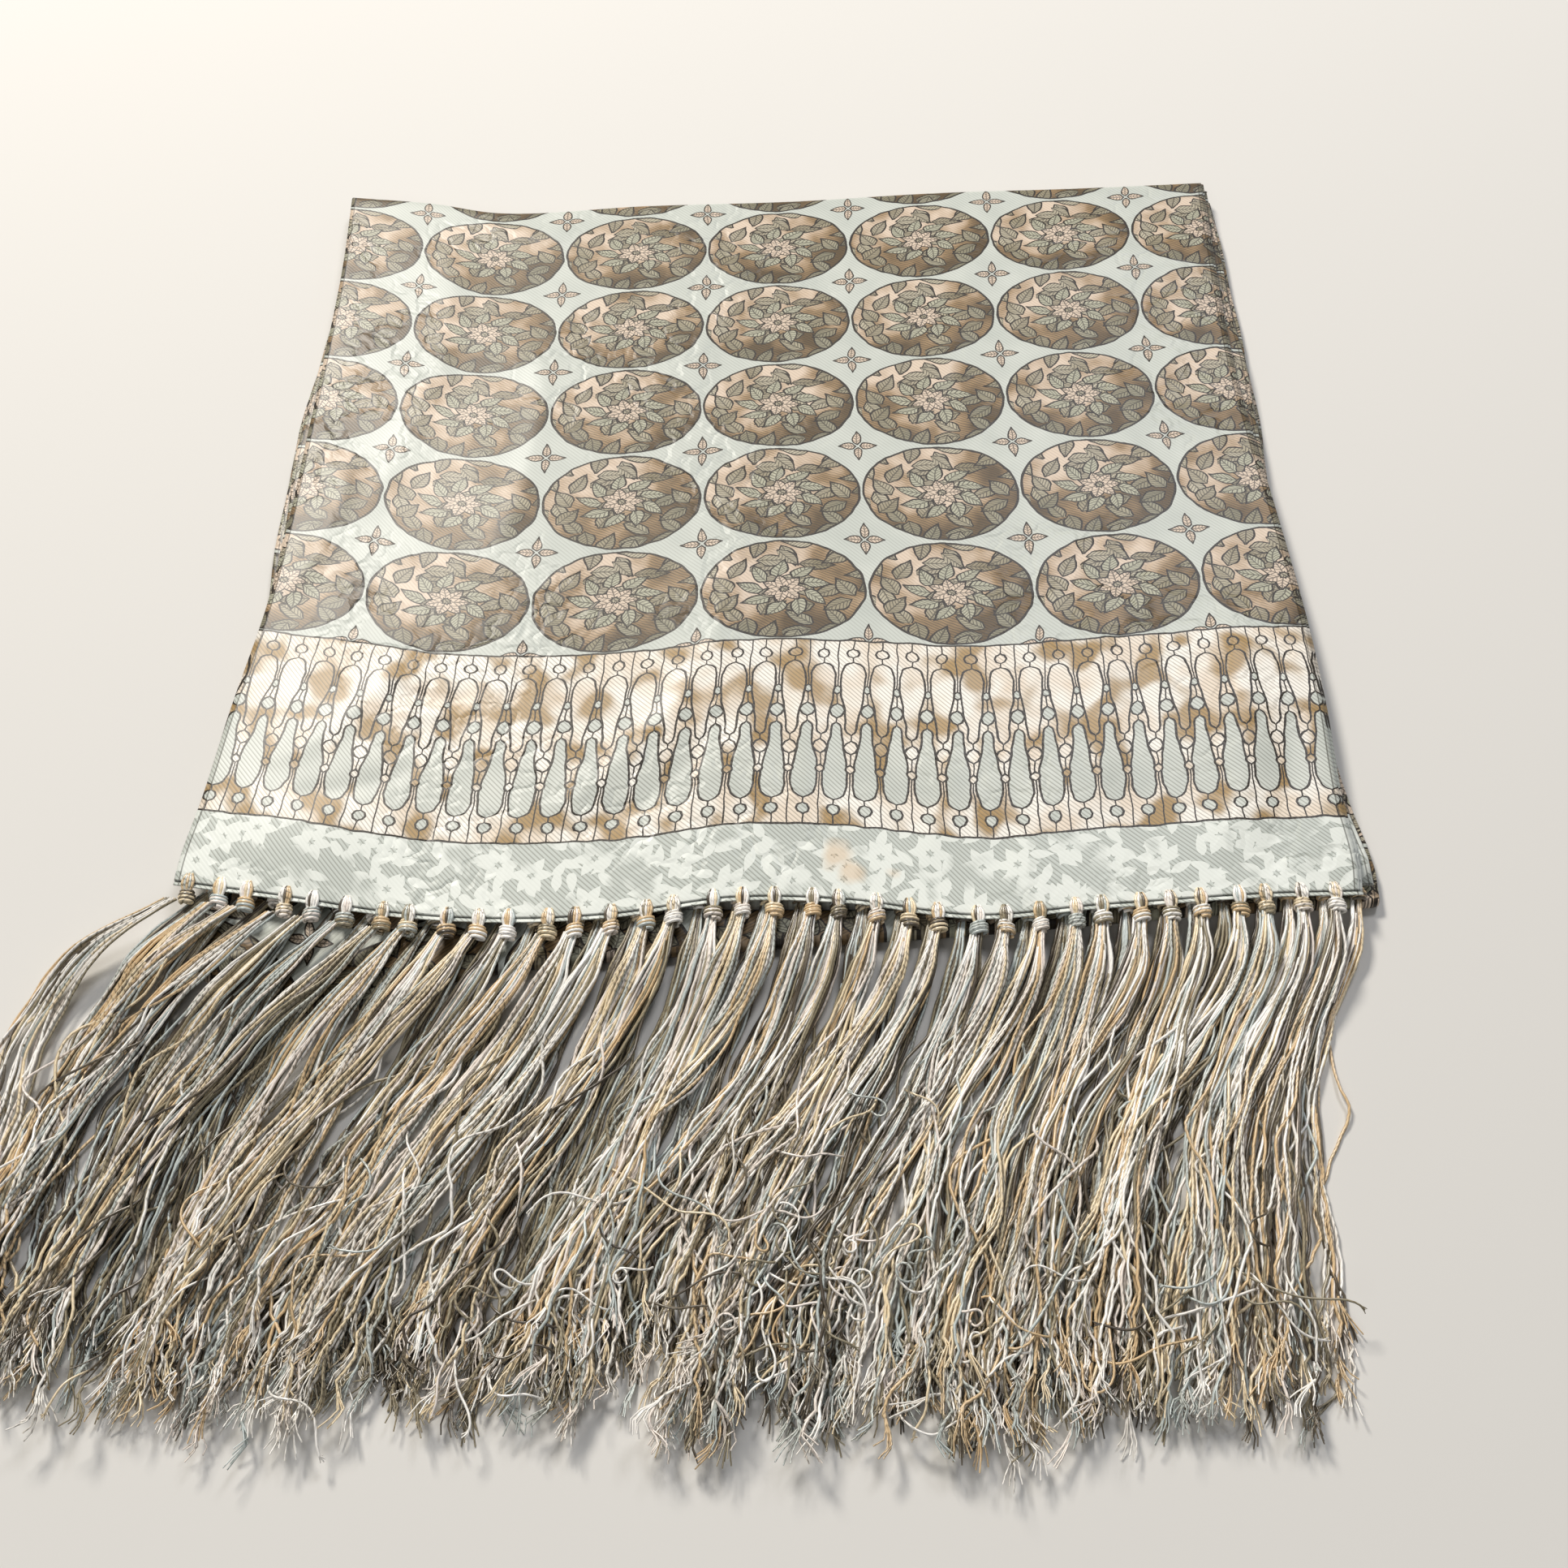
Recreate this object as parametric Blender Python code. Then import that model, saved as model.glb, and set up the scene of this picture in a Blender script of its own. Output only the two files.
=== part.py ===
"""Fringed silk scarf, folded in four and laid flat.

Metres, +Z up. The fringed ends lie toward -Y, the outer fold toward +Y and the width runs along X.
The scarf is a flat tube of two silk plies. Folded in half twice, it makes a stack of four panels:
the top panel shows both of its plies, and the three panels below it are one layered solid.
"""

import math
from collections import namedtuple

import bmesh
import bpy
from mathutils import Vector

MM = 0.001

# Driving sizes of the folded scarf, in millimetres
SCARF_WIDTH = 295.0
PANEL_LENGTH = 277.0
FRINGE_REACH = 119.0
FRINGE_SLANT = 0.055
PLY_WALL = 1.0
PLY_GAP = 0.3
UNDER_HEIGHT = 5.0
TASSELS = 36

# Heights of the stack, worked up from the surface that it lies on
BACK_PLY_BOTTOM = UNDER_HEIGHT + PLY_GAP
BACK_PLY_TOP = BACK_PLY_BOTTOM + PLY_WALL
FRONT_PLY_BOTTOM = BACK_PLY_TOP + PLY_GAP
FRONT_PLY_TOP = FRONT_PLY_BOTTOM + PLY_WALL
FOLD_RADIUS = FRONT_PLY_TOP / 2
NOSE_HEIGHT = 3.3

# How far the back ply shows in front of the front ply's hem, and past its right side edge
BACK_PLY_PEEK = 1.8
BACK_PLY_RIGHT_PEEK = 0.8
LOWER_HEM_BACK = 2.6

# Grid of the two plies, and the angle to which their back fold turns down
PLY_COLUMNS = 22
PLY_ROWS = 12
FOLD_STEPS = 4
FOLD_END_DEGREES = -62.0

# Tassels: a knot in front of the hem, a loop over the hem, and locks that fall to the floor
TASSEL_PITCH = (SCARF_WIDTH - 10.0) / (TASSELS - 1)
KNOT_LENGTH = 4.2
KNOT_HALF_WIDTH = 2.1
KNOT_SLOPE = 0.5
LOOP_HEIGHT = 1.0
LOOP_REACH = 4.5
CORD_DEPTH = 1.2
CORD_HEIGHT = 1.2
LOCK_SPREAD = 14.0
LOCK_FILL = 0.68
LOCK_TIP_SHARE = 0.45
NOSE_CLEARANCE = 1.5
KNOT_CLEARANCE = 7.0
FALL_LENGTH = 26.0

Level = namedtuple("Level", "bottom top floor_bottom floor_top hem_offset shift drift locks floor_bends")
UPPER = Level(BACK_PLY_BOTTOM, FRONT_PLY_TOP + PLY_GAP, 2.1, 3.9, -BACK_PLY_PEEK, -6.0, 1.0, 3, 1)
LOWER = Level(NOSE_HEIGHT + PLY_GAP, UNDER_HEIGHT - 0.1, 0.4, 1.7, LOWER_HEM_BACK, 0.5, 0.7, 2, 0)

# Outlines seen from above: across is X, along is Y from the mean hem line
Point = namedtuple("Point", "across along")
HEM_LINE = (
    Point(-152, 6.0), Point(-125, 1.5), Point(-95, -3.0), Point(-68, -4.5), Point(-42, -3.0),
    Point(-12, 1.5), Point(15, 1.0), Point(48, -3.5), Point(80, -0.5), Point(118, 2.5), Point(150, 3.5),
)
FOLD_LINE = (
    Point(-152, 278.0), Point(-124, 274.6), Point(-101, 269.6), Point(-50, 273.4),
    Point(0, 275.8), Point(50, 280.4), Point(100, 283.0), Point(150, 286.5),
)
NOSE_LINE = (
    Point(-152, -14.0), Point(-138, -21.0), Point(-112, -27.0), Point(-80, -18.0),
    Point(-20, -11.0), Point(45, -6.0), Point(110, 0.0), Point(158, 2.5),
)

# Side edges by distance along: the top panel's, and the widest of the panels below
Side = namedtuple("Side", "along left right under_left under_right")
SIDES = (
    Side(-30, -152.0, 142.8, -143.0, 147.5),
    Side(0, -152.0, 142.8, -146.0, 150.5),
    Side(12, -152.0, 144.2, -147.5, 151.0),
    Side(30, -150.0, 143.4, -148.0, 148.0),
    Side(60, -148.2, 144.6, -147.0, 147.3),
    Side(95, -145.0, 144.8, -148.0, 147.1),
    Side(125, -144.4, 143.8, -149.0, 145.5),
    Side(160, -144.6, 142.0, -149.8, 147.1),
    Side(190, -145.0, 141.0, -149.6, 148.7),
    Side(235, -145.8, 141.8, -146.4, 148.5),
    Side(290, -149.2, 144.8, -146.0, 148.7),
)

# Soft swells of the top panel: centre, rise and half spread across and along
Swell = namedtuple("Swell", "across along rise wide long")
SWELLS = (
    Swell(-122, 22, 2.2, 24, 26),
    Swell(-16, 62, 1.3, 16, 48),
    Swell(62, 40, 0.9, 20, 40),
    Swell(130, 70, 1.6, 22, 40),
    Swell(-70, 150, 0.8, 30, 60),
    Swell(70, 190, 0.9, 36, 60),
    Swell(118, 255, 1.3, 40, 34),
)

# Sideways drift of the fringe by tassel place, at distances in front of the hem
DRIFT_STATIONS = (0.0, 15.0, 35.0, 60.0, 90.0, 127.0)
Drift = namedtuple("Drift", "across offsets")
DRIFTS = (
    Drift(-150, (0, -18, -28, -30, -30, -32)),
    Drift(-118, (0, -13, -27, -36, -44, -49)),
    Drift(-54, (0, -6, -18, -34, -48, -56)),
    Drift(0, (0, -3, -10, -22, -34, -42)),
    Drift(48, (0, -4, -14, -28, -40, -48)),
    Drift(84, (0, -3, -13, -27, -39, -45)),
    Drift(118, (0, -2, -11, -23, -31, -35)),
    Drift(150, (0, -2, -8, -13, -14, -17)),
)

# The layered panels below: inset at the sides and height, from the floor up
Layer = namedtuple("Layer", "height side_inset panel")
LAYERS = (
    Layer(0.0, 0.9, "bottom"), Layer(0.75, 0.0, "bottom"), Layer(1.4, 0.5, "bottom"),
    Layer(1.65, 1.9, "bottom"), Layer(1.9, 1.4, "middle"), Layer(2.5, 0.9, "middle"),
    Layer(3.1, 1.4, "middle"), Layer(NOSE_HEIGHT, 2.4, "middle"), Layer(NOSE_HEIGHT, 3.4, "top"),
    Layer(3.6, 2.8, "top"), Layer(4.2, 2.4, "top"), Layer(4.75, 2.8, "top"),
    Layer(UNDER_HEIGHT, 3.8, "top"),
)
UNDER_SIDE_POINTS = 14
UNDER_END_POINTS = 24
UNDER_BACK_INSET = 1.0

SILK = dict(colour="B9AE95", roughness=0.42)
SILK_UNDER = dict(colour="9C8464", roughness=0.5)
YARN = dict(colour="CFC3A6", roughness=0.55)
YARN_SHADE = dict(colour="8F8466", roughness=0.6)


def curve_through(places, values, at):
    """A smooth curve through the values, read at one place. It runs straight on past both ends."""
    last = len(places) - 1
    i = 0
    while i < last - 1 and at > places[i + 1]:
        i += 1
    span = places[i + 1] - places[i]
    t = (at - places[i]) / span
    chord = (values[i + 1] - values[i]) / span
    before = (values[i] - values[i - 1]) / (places[i] - places[i - 1]) if i > 0 else chord
    after = (values[i + 2] - values[i + 1]) / (places[i + 2] - places[i + 1]) if i + 2 <= last else chord
    if t <= 0:
        return values[i] + chord * (at - places[i])
    if t >= 1:
        return values[i + 1] + chord * (at - places[i + 1])
    start = (before + chord) / 2 * span
    end = (chord + after) / 2 * span
    rise = values[i + 1] - values[i]
    return values[i] + start * t + (3 * rise - 2 * start - end) * t**2 + (start + end - 2 * rise) * t**3


def line_at(line, across):
    return curve_through([p.across for p in line], [p.along for p in line], across)


def side_at(column, along):
    return curve_through([s.along for s in SIDES], [getattr(s, column) for s in SIDES], along)


def smoothstep(t):
    t = min(max(t, 0.0), 1.0)
    return t * t * (3 - 2 * t)


def lift(across, along):
    """How far the top panel rises off the panels below it, fading out before the back fold."""
    total = 0.0
    for s in SWELLS:
        total += s.rise * math.exp(-(((across - s.across) / s.wide) ** 2) - ((along - s.along) / s.long) ** 2)
    return total * smoothstep((PANEL_LENGTH - along) / 40)


def material(name, colour, roughness):
    """A Principled BSDF from an sRGB hex colour."""
    srgb = [int(colour[i : i + 2], 16) / 255 for i in (0, 2, 4)]
    linear = [c / 12.92 if c <= 0.04045 else ((c + 0.055) / 1.055) ** 2.4 for c in srgb]
    made = bpy.data.materials.new(name)
    made.use_nodes = True
    shader = made.node_tree.nodes["Principled BSDF"]
    shader.inputs["Base Color"].default_value = (*linear, 1)
    shader.inputs["Roughness"].default_value = roughness
    shader.inputs["Metallic"].default_value = 0.0
    return made


def finished_object(name, bm, finish, parent):
    """Turns a closed bmesh, drawn in millimetres, into a named object in metres."""
    bmesh.ops.scale(bm, vec=(MM, MM, MM), verts=bm.verts)
    bmesh.ops.recalc_face_normals(bm, faces=bm.faces)
    bmesh.ops.triangulate(bm, faces=bm.faces)
    mesh = bpy.data.meshes.new(name)
    bm.to_mesh(mesh)
    bm.free()
    mesh.shade_smooth()
    mesh.set_sharp_from_angle(angle=math.radians(50))
    mesh.materials.append(material(name + "_finish", **finish))
    made = bpy.data.objects.new(name, mesh)
    made.parent = parent
    bpy.context.scene.collection.objects.link(made)
    return made


def ply_section(share, top, hem_offset, right_peek):
    """One column of a ply, from its hem over the top and round the back fold: outer and inner points."""
    nominal = side_at("left", 0) * (1 - share) + (side_at("right", 0) + right_peek) * share
    hem = line_at(HEM_LINE, nominal) + hem_offset
    turn = line_at(FOLD_LINE, nominal) - FOLD_RADIUS
    outer, inner = [], []
    for row in range(PLY_ROWS + 1):
        along = hem + (turn - hem) * row / PLY_ROWS
        across = side_at("left", along) * (1 - share) + (side_at("right", along) + right_peek) * share
        height = top + lift(across, along)
        outer.append(Vector((across, along, height)))
        inner.append(Vector((across, along, height - PLY_WALL)))
    radius = top - FOLD_RADIUS
    for step in range(1, FOLD_STEPS + 1):
        angle = math.radians(90 + (FOLD_END_DEGREES - 90) * step / FOLD_STEPS)
        way = Vector((0, math.cos(angle), math.sin(angle)))
        centre = Vector((outer[PLY_ROWS].x, turn, FOLD_RADIUS))
        outer.append(centre + way * radius)
        inner.append(centre + way * (radius - PLY_WALL))
    return outer, inner


def silk_ply(name, top, hem_offset, right_peek, finish, parent):
    """A ply of the top panel: a thin wall that turns down over the back of the stack."""
    bm = bmesh.new()
    sections = [ply_section(c / PLY_COLUMNS, top, hem_offset, right_peek) for c in range(PLY_COLUMNS + 1)]
    outer = [[bm.verts.new(p) for p in section[0]] for section in sections]
    inner = [[bm.verts.new(p) for p in section[1]] for section in sections]
    rows = len(outer[0])
    for c in range(PLY_COLUMNS):
        for r in range(rows - 1):
            bm.faces.new((outer[c][r], outer[c + 1][r], outer[c + 1][r + 1], outer[c][r + 1]))
            bm.faces.new((inner[c][r], inner[c][r + 1], inner[c + 1][r + 1], inner[c + 1][r]))
        for r in (0, rows - 1):
            bm.faces.new((outer[c][r], inner[c][r], inner[c + 1][r], outer[c + 1][r]))
    for c in (0, PLY_COLUMNS):
        for r in range(rows - 1):
            bm.faces.new((outer[c][r], outer[c][r + 1], inner[c][r + 1], inner[c][r]))
    return finished_object(name, bm, finish, parent)


def under_outline(layer):
    """The plan outline of the layered panels at one height, as a closed ring of points."""
    nose_radius = NOSE_HEIGHT / 2
    nose_inset = nose_radius - math.sqrt(max(nose_radius**2 - (layer.height - nose_radius) ** 2, 0.0))

    def place(across_share, along_share):
        nominal = (side_at("under_left", 0) + layer.side_inset) * (1 - across_share)
        nominal += (side_at("under_right", 0) - layer.side_inset) * across_share
        if layer.panel == "top":
            front = line_at(HEM_LINE, nominal) + LOWER_HEM_BACK + max(layer.side_inset - 2.4, 0) * 0.4
        else:
            front = line_at(NOSE_LINE, nominal) + nose_inset
        back = line_at(FOLD_LINE, nominal) - FOLD_RADIUS - UNDER_BACK_INSET - layer.side_inset * 0.3
        along = front + (back - front) * along_share
        left = side_at("under_left", along) + layer.side_inset
        right = side_at("under_right", along) - layer.side_inset
        return Vector((left + (right - left) * across_share, along, layer.height))

    ends = [i / UNDER_END_POINTS for i in range(UNDER_END_POINTS)]
    sides = [i / UNDER_SIDE_POINTS for i in range(UNDER_SIDE_POINTS)]
    ring = [place(t, 0) for t in ends] + [place(1, t) for t in sides]
    ring += [place(1 - t, 1) for t in ends] + [place(0, 1 - t) for t in sides]
    return ring


def folded_panels(name, finish, parent):
    """The three panels below the top one, as one solid with a groove between the panels at its edges."""
    bm = bmesh.new()
    rings = [[bm.verts.new(p) for p in under_outline(layer)] for layer in LAYERS]
    count = len(rings[0])
    for low, high in zip(rings, rings[1:]):
        for i in range(count):
            j = (i + 1) % count
            bm.faces.new((low[i], low[j], high[j], high[i]))
    bm.faces.new(reversed(rings[0]))
    bm.faces.new(rings[-1])
    return finished_object(name, bm, finish, parent)


def tassel_place(level, index):
    return (index - (TASSELS - 1) / 2) * TASSEL_PITCH + level.shift


def fringe_reach(place):
    """How far in front of the hem a lock ends: further on the right, and uneven between neighbours."""
    return FRINGE_REACH + FRINGE_SLANT * place + 2.5 * math.sin(place * 1.7) + 1.5 * math.sin(place * 0.31)


def flow(place, distance, drift):
    """Where the lock that starts at a place along the hem has got to, at a distance in front of it."""
    offsets = [curve_through(DRIFT_STATIONS, d.offsets, distance) for d in DRIFTS]
    sideways = curve_through([d.across for d in DRIFTS], offsets, place)
    return place + sideways * drift


def fringe_hem(level, across):
    return line_at(HEM_LINE, across) + level.hem_offset


def fall_start(level, across, hem):
    """Where a lock leaves the panels below: past the nose of their front fold, and clear of its own knot."""
    return min(line_at(NOSE_LINE, across) - NOSE_CLEARANCE, hem - KNOT_CLEARANCE)


def lock_heights(level, across, hem, fallen):
    """Lowest and highest point of a lock, which is level over the folded panels and has fallen to the floor."""
    rise = lift(across, hem) if level is UPPER else 0.0
    bottom = (level.bottom + rise) * (1 - fallen) + level.floor_bottom * fallen
    top = (level.top + rise) * (1 - fallen) + level.floor_top * fallen
    return bottom, top


def lock_stations(level, place, hem, reach):
    """Where a lock has its rings, as distance in front of the hem and how far it has fallen by then."""
    slope = KNOT_CLEARANCE
    for _ in range(4):
        slope = hem - fall_start(level, flow(place, slope, level.drift), hem)
    foot = slope + FALL_LENGTH
    steps = level.floor_bends + 1
    return [(slope, 0.0), (foot, 1.0)] + [(foot + (reach - foot) * (i + 1) / steps, 1.0) for i in range(steps)]


def grow_lock(bm, root, level, tassel_x, hem, number):
    """Carries one root face of the knot out to the lock's tip, ring by ring, and closes the tip."""
    start = number - level.locks / 2
    pitch = TASSEL_PITCH / level.locks
    knot_pitch = 2 * KNOT_HALF_WIDTH / level.locks
    middle = start + 0.5
    reach = fringe_reach(tassel_x + middle * pitch)
    previous = root
    for station, fallen in lock_stations(level, tassel_x + middle * pitch, hem, reach):
        spread = smoothstep(station / LOCK_SPREAD)
        fill = 1 - (1 - LOCK_FILL) * spread
        if station == reach:
            fill *= LOCK_TIP_SHARE
        step = knot_pitch + (pitch - knot_pitch) * spread
        edges = [tassel_x + step * (middle + side * fill / 2) for side in (-1, 1)]
        left, right = (flow(edge, station, level.drift) for edge in edges)
        along = hem - station
        bottom, top = lock_heights(level, (left + right) / 2, hem, fallen)
        corners = ((left, bottom), (left, top), (right, top), (right, bottom))
        ring = [bm.verts.new((x, along, z)) for x, z in corners]
        for i in range(4):
            j = (i + 1) % 4
            bm.faces.new((previous[i], previous[j], ring[j], ring[i]))
        previous = ring
    bm.faces.new(previous)


def grow_loop(bm, ring, hem):
    """The yarn loop of a tassel: up from the knot's top and back over the front ply's hem."""
    raised = [bm.verts.new(v.co + Vector((0, 0, LOOP_HEIGHT))) for v in ring]
    for i in range(4):
        j = (i + 1) % 4
        if i != 3:
            bm.faces.new((ring[i], ring[j], raised[j], raised[i]))
    bm.faces.new(raised)
    mouth = [ring[3], ring[0], raised[0], raised[3]]
    end = hem + LOOP_REACH
    climb = lift(ring[0].co.x, end) - lift(ring[0].co.x, hem)
    back = [bm.verts.new((v.co.x, end, v.co.z + climb)) for v in mouth]
    for i in range(4):
        j = (i + 1) % 4
        bm.faces.new((mouth[i], mouth[j], back[j], back[i]))
    bm.faces.new(back)


def fringe(name, level, with_loops, finish, parent):
    """A row of knots on a thin cord along the hem, each knot with its locks."""
    bm = bmesh.new()
    cord_middle = (level.bottom + level.top) / 2
    knot_step = 2 * KNOT_HALF_WIDTH / level.locks
    rings = []
    for index in range(TASSELS):
        x = tassel_place(level, index)
        knot_offsets = [-KNOT_HALF_WIDTH + knot_step * i for i in range(level.locks + 1)]
        for offset in (-KNOT_HALF_WIDTH - KNOT_SLOPE, *knot_offsets, KNOT_HALF_WIDTH + KNOT_SLOPE):
            is_knot = abs(offset) <= KNOT_HALF_WIDTH
            rise = lift(x, fringe_hem(level, x)) if level is UPPER else 0.0
            back = fringe_hem(level, x + offset) - PLY_GAP
            front = back - (KNOT_LENGTH if is_knot else CORD_DEPTH)
            low = (level.bottom if is_knot else cord_middle - CORD_HEIGHT / 2) + rise
            high = (level.top if is_knot else cord_middle + CORD_HEIGHT / 2) + rise
            corners = ((back, low), (back, high), (front, high), (front, low))
            rings.append((index, offset, [bm.verts.new((x + offset, y, z)) for y, z in corners]))
    for (index, offset, a), (next_index, next_offset, b) in zip(rings, rings[1:]):
        in_knot = index == next_index and abs(offset) <= KNOT_HALF_WIDTH and abs(next_offset) <= KNOT_HALF_WIDTH
        x = tassel_place(level, index)
        hem = fringe_hem(level, x)
        for i in range(4):
            j = (i + 1) % 4
            if in_knot and i == 2:
                number = round((offset + KNOT_HALF_WIDTH) / knot_step)
                grow_lock(bm, [a[3], a[2], b[2], b[3]], level, x, hem, number)
            elif in_knot and i == 1 and with_loops and abs(offset + next_offset) < 0.01:
                grow_loop(bm, [a[1], a[2], b[2], b[1]], hem)
            else:
                bm.faces.new((a[i], a[j], b[j], b[i]))
    bm.faces.new(rings[0][2])
    bm.faces.new(rings[-1][2])
    return finished_object(name, bm, finish, parent)


def stand_on_origin(parent, pieces):
    """Moves the whole scarf so that the centre of its box's bottom face is the origin."""
    corners = [v.co for piece in pieces for v in piece.data.vertices]
    low = [min(c[i] for c in corners) for i in range(3)]
    high = [max(c[i] for c in corners) for i in range(3)]
    parent.location = (-(low[0] + high[0]) / 2, -(low[1] + high[1]) / 2, -low[2])


def main():
    for old in list(bpy.data.objects):
        bpy.data.objects.remove(old)
    parent = bpy.data.objects.new("folded_scarf", None)
    bpy.context.scene.collection.objects.link(parent)
    pieces = [
        silk_ply("front_ply", FRONT_PLY_TOP, 0.0, 0.0, SILK, parent),
        silk_ply("back_ply", BACK_PLY_TOP, -BACK_PLY_PEEK, BACK_PLY_RIGHT_PEEK, SILK, parent),
        folded_panels("folded_panels", SILK_UNDER, parent),
        fringe("upper_fringe", UPPER, True, YARN, parent),
        fringe("lower_fringe", LOWER, False, YARN_SHADE, parent),
    ]
    stand_on_origin(parent, pieces)


main()
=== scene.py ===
"""A fringed silk scarf, folded in four and laid flat: silk, print, creases, knots and fringe.

Sizes of the cloth are in millimetres on the scarf's own plan: across is X, along runs from the mean
hem line towards the outer fold, and height is from the table.
"""

import math
from collections import namedtuple

import bpy
import numpy as np
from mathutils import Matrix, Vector


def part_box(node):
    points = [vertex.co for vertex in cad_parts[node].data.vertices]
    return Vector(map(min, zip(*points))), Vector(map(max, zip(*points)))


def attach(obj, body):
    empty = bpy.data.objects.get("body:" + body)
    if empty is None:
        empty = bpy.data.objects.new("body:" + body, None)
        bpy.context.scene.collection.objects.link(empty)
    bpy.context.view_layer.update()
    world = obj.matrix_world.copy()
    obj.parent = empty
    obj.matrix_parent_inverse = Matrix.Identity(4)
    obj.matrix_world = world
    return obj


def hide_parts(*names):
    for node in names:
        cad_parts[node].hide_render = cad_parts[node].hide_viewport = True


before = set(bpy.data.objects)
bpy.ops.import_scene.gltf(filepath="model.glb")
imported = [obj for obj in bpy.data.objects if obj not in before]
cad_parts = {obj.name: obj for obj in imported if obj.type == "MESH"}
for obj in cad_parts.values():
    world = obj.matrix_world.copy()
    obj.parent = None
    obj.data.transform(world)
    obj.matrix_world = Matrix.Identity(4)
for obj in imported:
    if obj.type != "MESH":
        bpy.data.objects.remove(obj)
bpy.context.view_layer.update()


# The surface under the scarf: a plain pale table top. A soft lamp beyond the fold, like a window, rakes
# over silk and fringe and shows each crease and thread. A second one gives the sheen, a third fills shade.
MM = 0.001
TABLE_SIDE = 6.0
TABLE_COLOUR = "DAD7D1"
SKY_COLOUR = "E6EBF2"
SKY_STRENGTH = 0.17
Lamp = namedtuple("Lamp", "name place width watts colour")
LAMPS = (
    Lamp("window", (-0.9, 1.55, 1.6), 0.56, 58.0, "FFFAF2"),
    Lamp("second_window", (0.66, 1.4, 1.9), 0.7, 20.0, "F6F8FF"),
    Lamp("fill_front", (-0.5, -1.3, 1.2), 0.9, 4.5, "FFFFFF"),
)


def linear(hex_code):
    """The linear colour of an sRGB hex value."""
    srgb = [int(hex_code[i : i + 2], 16) / 255 for i in (0, 2, 4)]
    return (*[c / 12.92 if c <= 0.04045 else ((c + 0.055) / 1.055) ** 2.4 for c in srgb], 1.0)


def add(tree, kind, wired=(), **settings):
    """Adds a node with its settings, fills its inputs by order or by name, and gives its first output.

    A kind without "Node" in it is a shader node's, and a word after it is its operation.
    """
    kind, _, operation = kind.partition(" ")
    node = tree.nodes.new(kind if "Node" in kind else "ShaderNode" + kind)
    if operation:
        node.operation = operation
    for key, value in settings.items():
        setattr(node, key, value)
    inputs = [s for s in node.inputs if s.enabled]
    for key, value in wired.items() if isinstance(wired, dict) else enumerate(wired):
        socket = inputs[key] if isinstance(key, int) else next(s for s in inputs if s.name == key)
        if isinstance(value, bpy.types.NodeSocket):
            tree.links.new(value, socket)
        else:
            socket.default_value = value
    return next((s for s in node.outputs if s.enabled), None)


def new_finish(name, **values):
    """A new material, its node tree and its shader, with the values that are the same all over."""
    made = bpy.data.materials.new(name)
    made.use_nodes = True
    shader = made.node_tree.nodes["Principled BSDF"]
    for label, value in values.items():
        shader.inputs[label.replace("_", " ")].default_value = value
    return made, made.node_tree, shader


def mesh_object(name, points, faces, finish):
    """An object from points in metres, with smooth faces and one material."""
    mesh = bpy.data.meshes.new(name)
    mesh.from_pydata([tuple(p) for p in points], [], faces)
    mesh.materials.append(finish)
    mesh.shade_smooth()
    made = bpy.data.objects.new(name, mesh)
    bpy.context.scene.collection.objects.link(made)
    return made


table_paint = new_finish("matt_table_paint", Base_Color=linear(TABLE_COLOUR), Roughness=0.85)[0]
reach = TABLE_SIDE / 2
corners = [(-reach, -reach, 0), (reach, -reach, 0), (reach, reach, 0), (-reach, reach, 0)]
table_top = mesh_object("table_top", corners, [(0, 1, 2, 3)], table_paint)

for lamp in LAMPS:
    light = bpy.data.lights.new(lamp.name, "AREA")
    light.shape = "DISK"
    light.size = lamp.width
    light.energy = lamp.watts
    light.color = linear(lamp.colour)[:3]
    holder = bpy.data.objects.new(lamp.name, light)
    holder.location = lamp.place
    holder.rotation_euler = (-Vector(lamp.place)).to_track_quat("-Z", "Y").to_euler()
    bpy.context.scene.collection.objects.link(holder)

sky = bpy.data.worlds.new("studio")
sky.use_nodes = True
sky.node_tree.nodes["Background"].inputs["Color"].default_value = linear(SKY_COLOUR)
sky.node_tree.nodes["Background"].inputs["Strength"].default_value = SKY_STRENGTH
bpy.context.scene.world = sky
bpy.context.scene.view_settings.view_transform = "Standard"


# The camera, held over the fringe and looking down at the scarf from where the photograph was taken. Its
# place is measured from the mean hem line, and its field of view is that of a phone's main camera.
PLY_LEFT_SIDE = -152.1
PLY_HEM_FRONT = -4.5
CAMERA_PLACE = (0.0, -188.7, 349.0)
CAMERA_DOWN_DEGREES = 56.8
FRAME_PIXELS = 1932
FOCAL_PIXELS = 1938.0
ply_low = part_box("front_ply")[0]
PLAN_X = ply_low[0] - PLY_LEFT_SIDE * MM
PLAN_Y = ply_low[1] - PLY_HEM_FRONT * MM


def in_frame(across, along, height):
    """A place on the scarf's plan, as metres in the part's frame."""
    return PLAN_X + across * MM, PLAN_Y + along * MM, height * MM


lens = bpy.data.cameras.new("camera")
lens.sensor_width = 36.0
lens.lens = FOCAL_PIXELS / FRAME_PIXELS * lens.sensor_width
lens.clip_start = 0.01
camera = bpy.data.objects.new("camera", lens)
camera.location = in_frame(*CAMERA_PLACE)
camera.rotation_euler = (math.radians(90 - CAMERA_DOWN_DEGREES), 0, 0)
bpy.context.scene.collection.objects.link(camera)
bpy.context.scene.camera = camera


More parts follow.
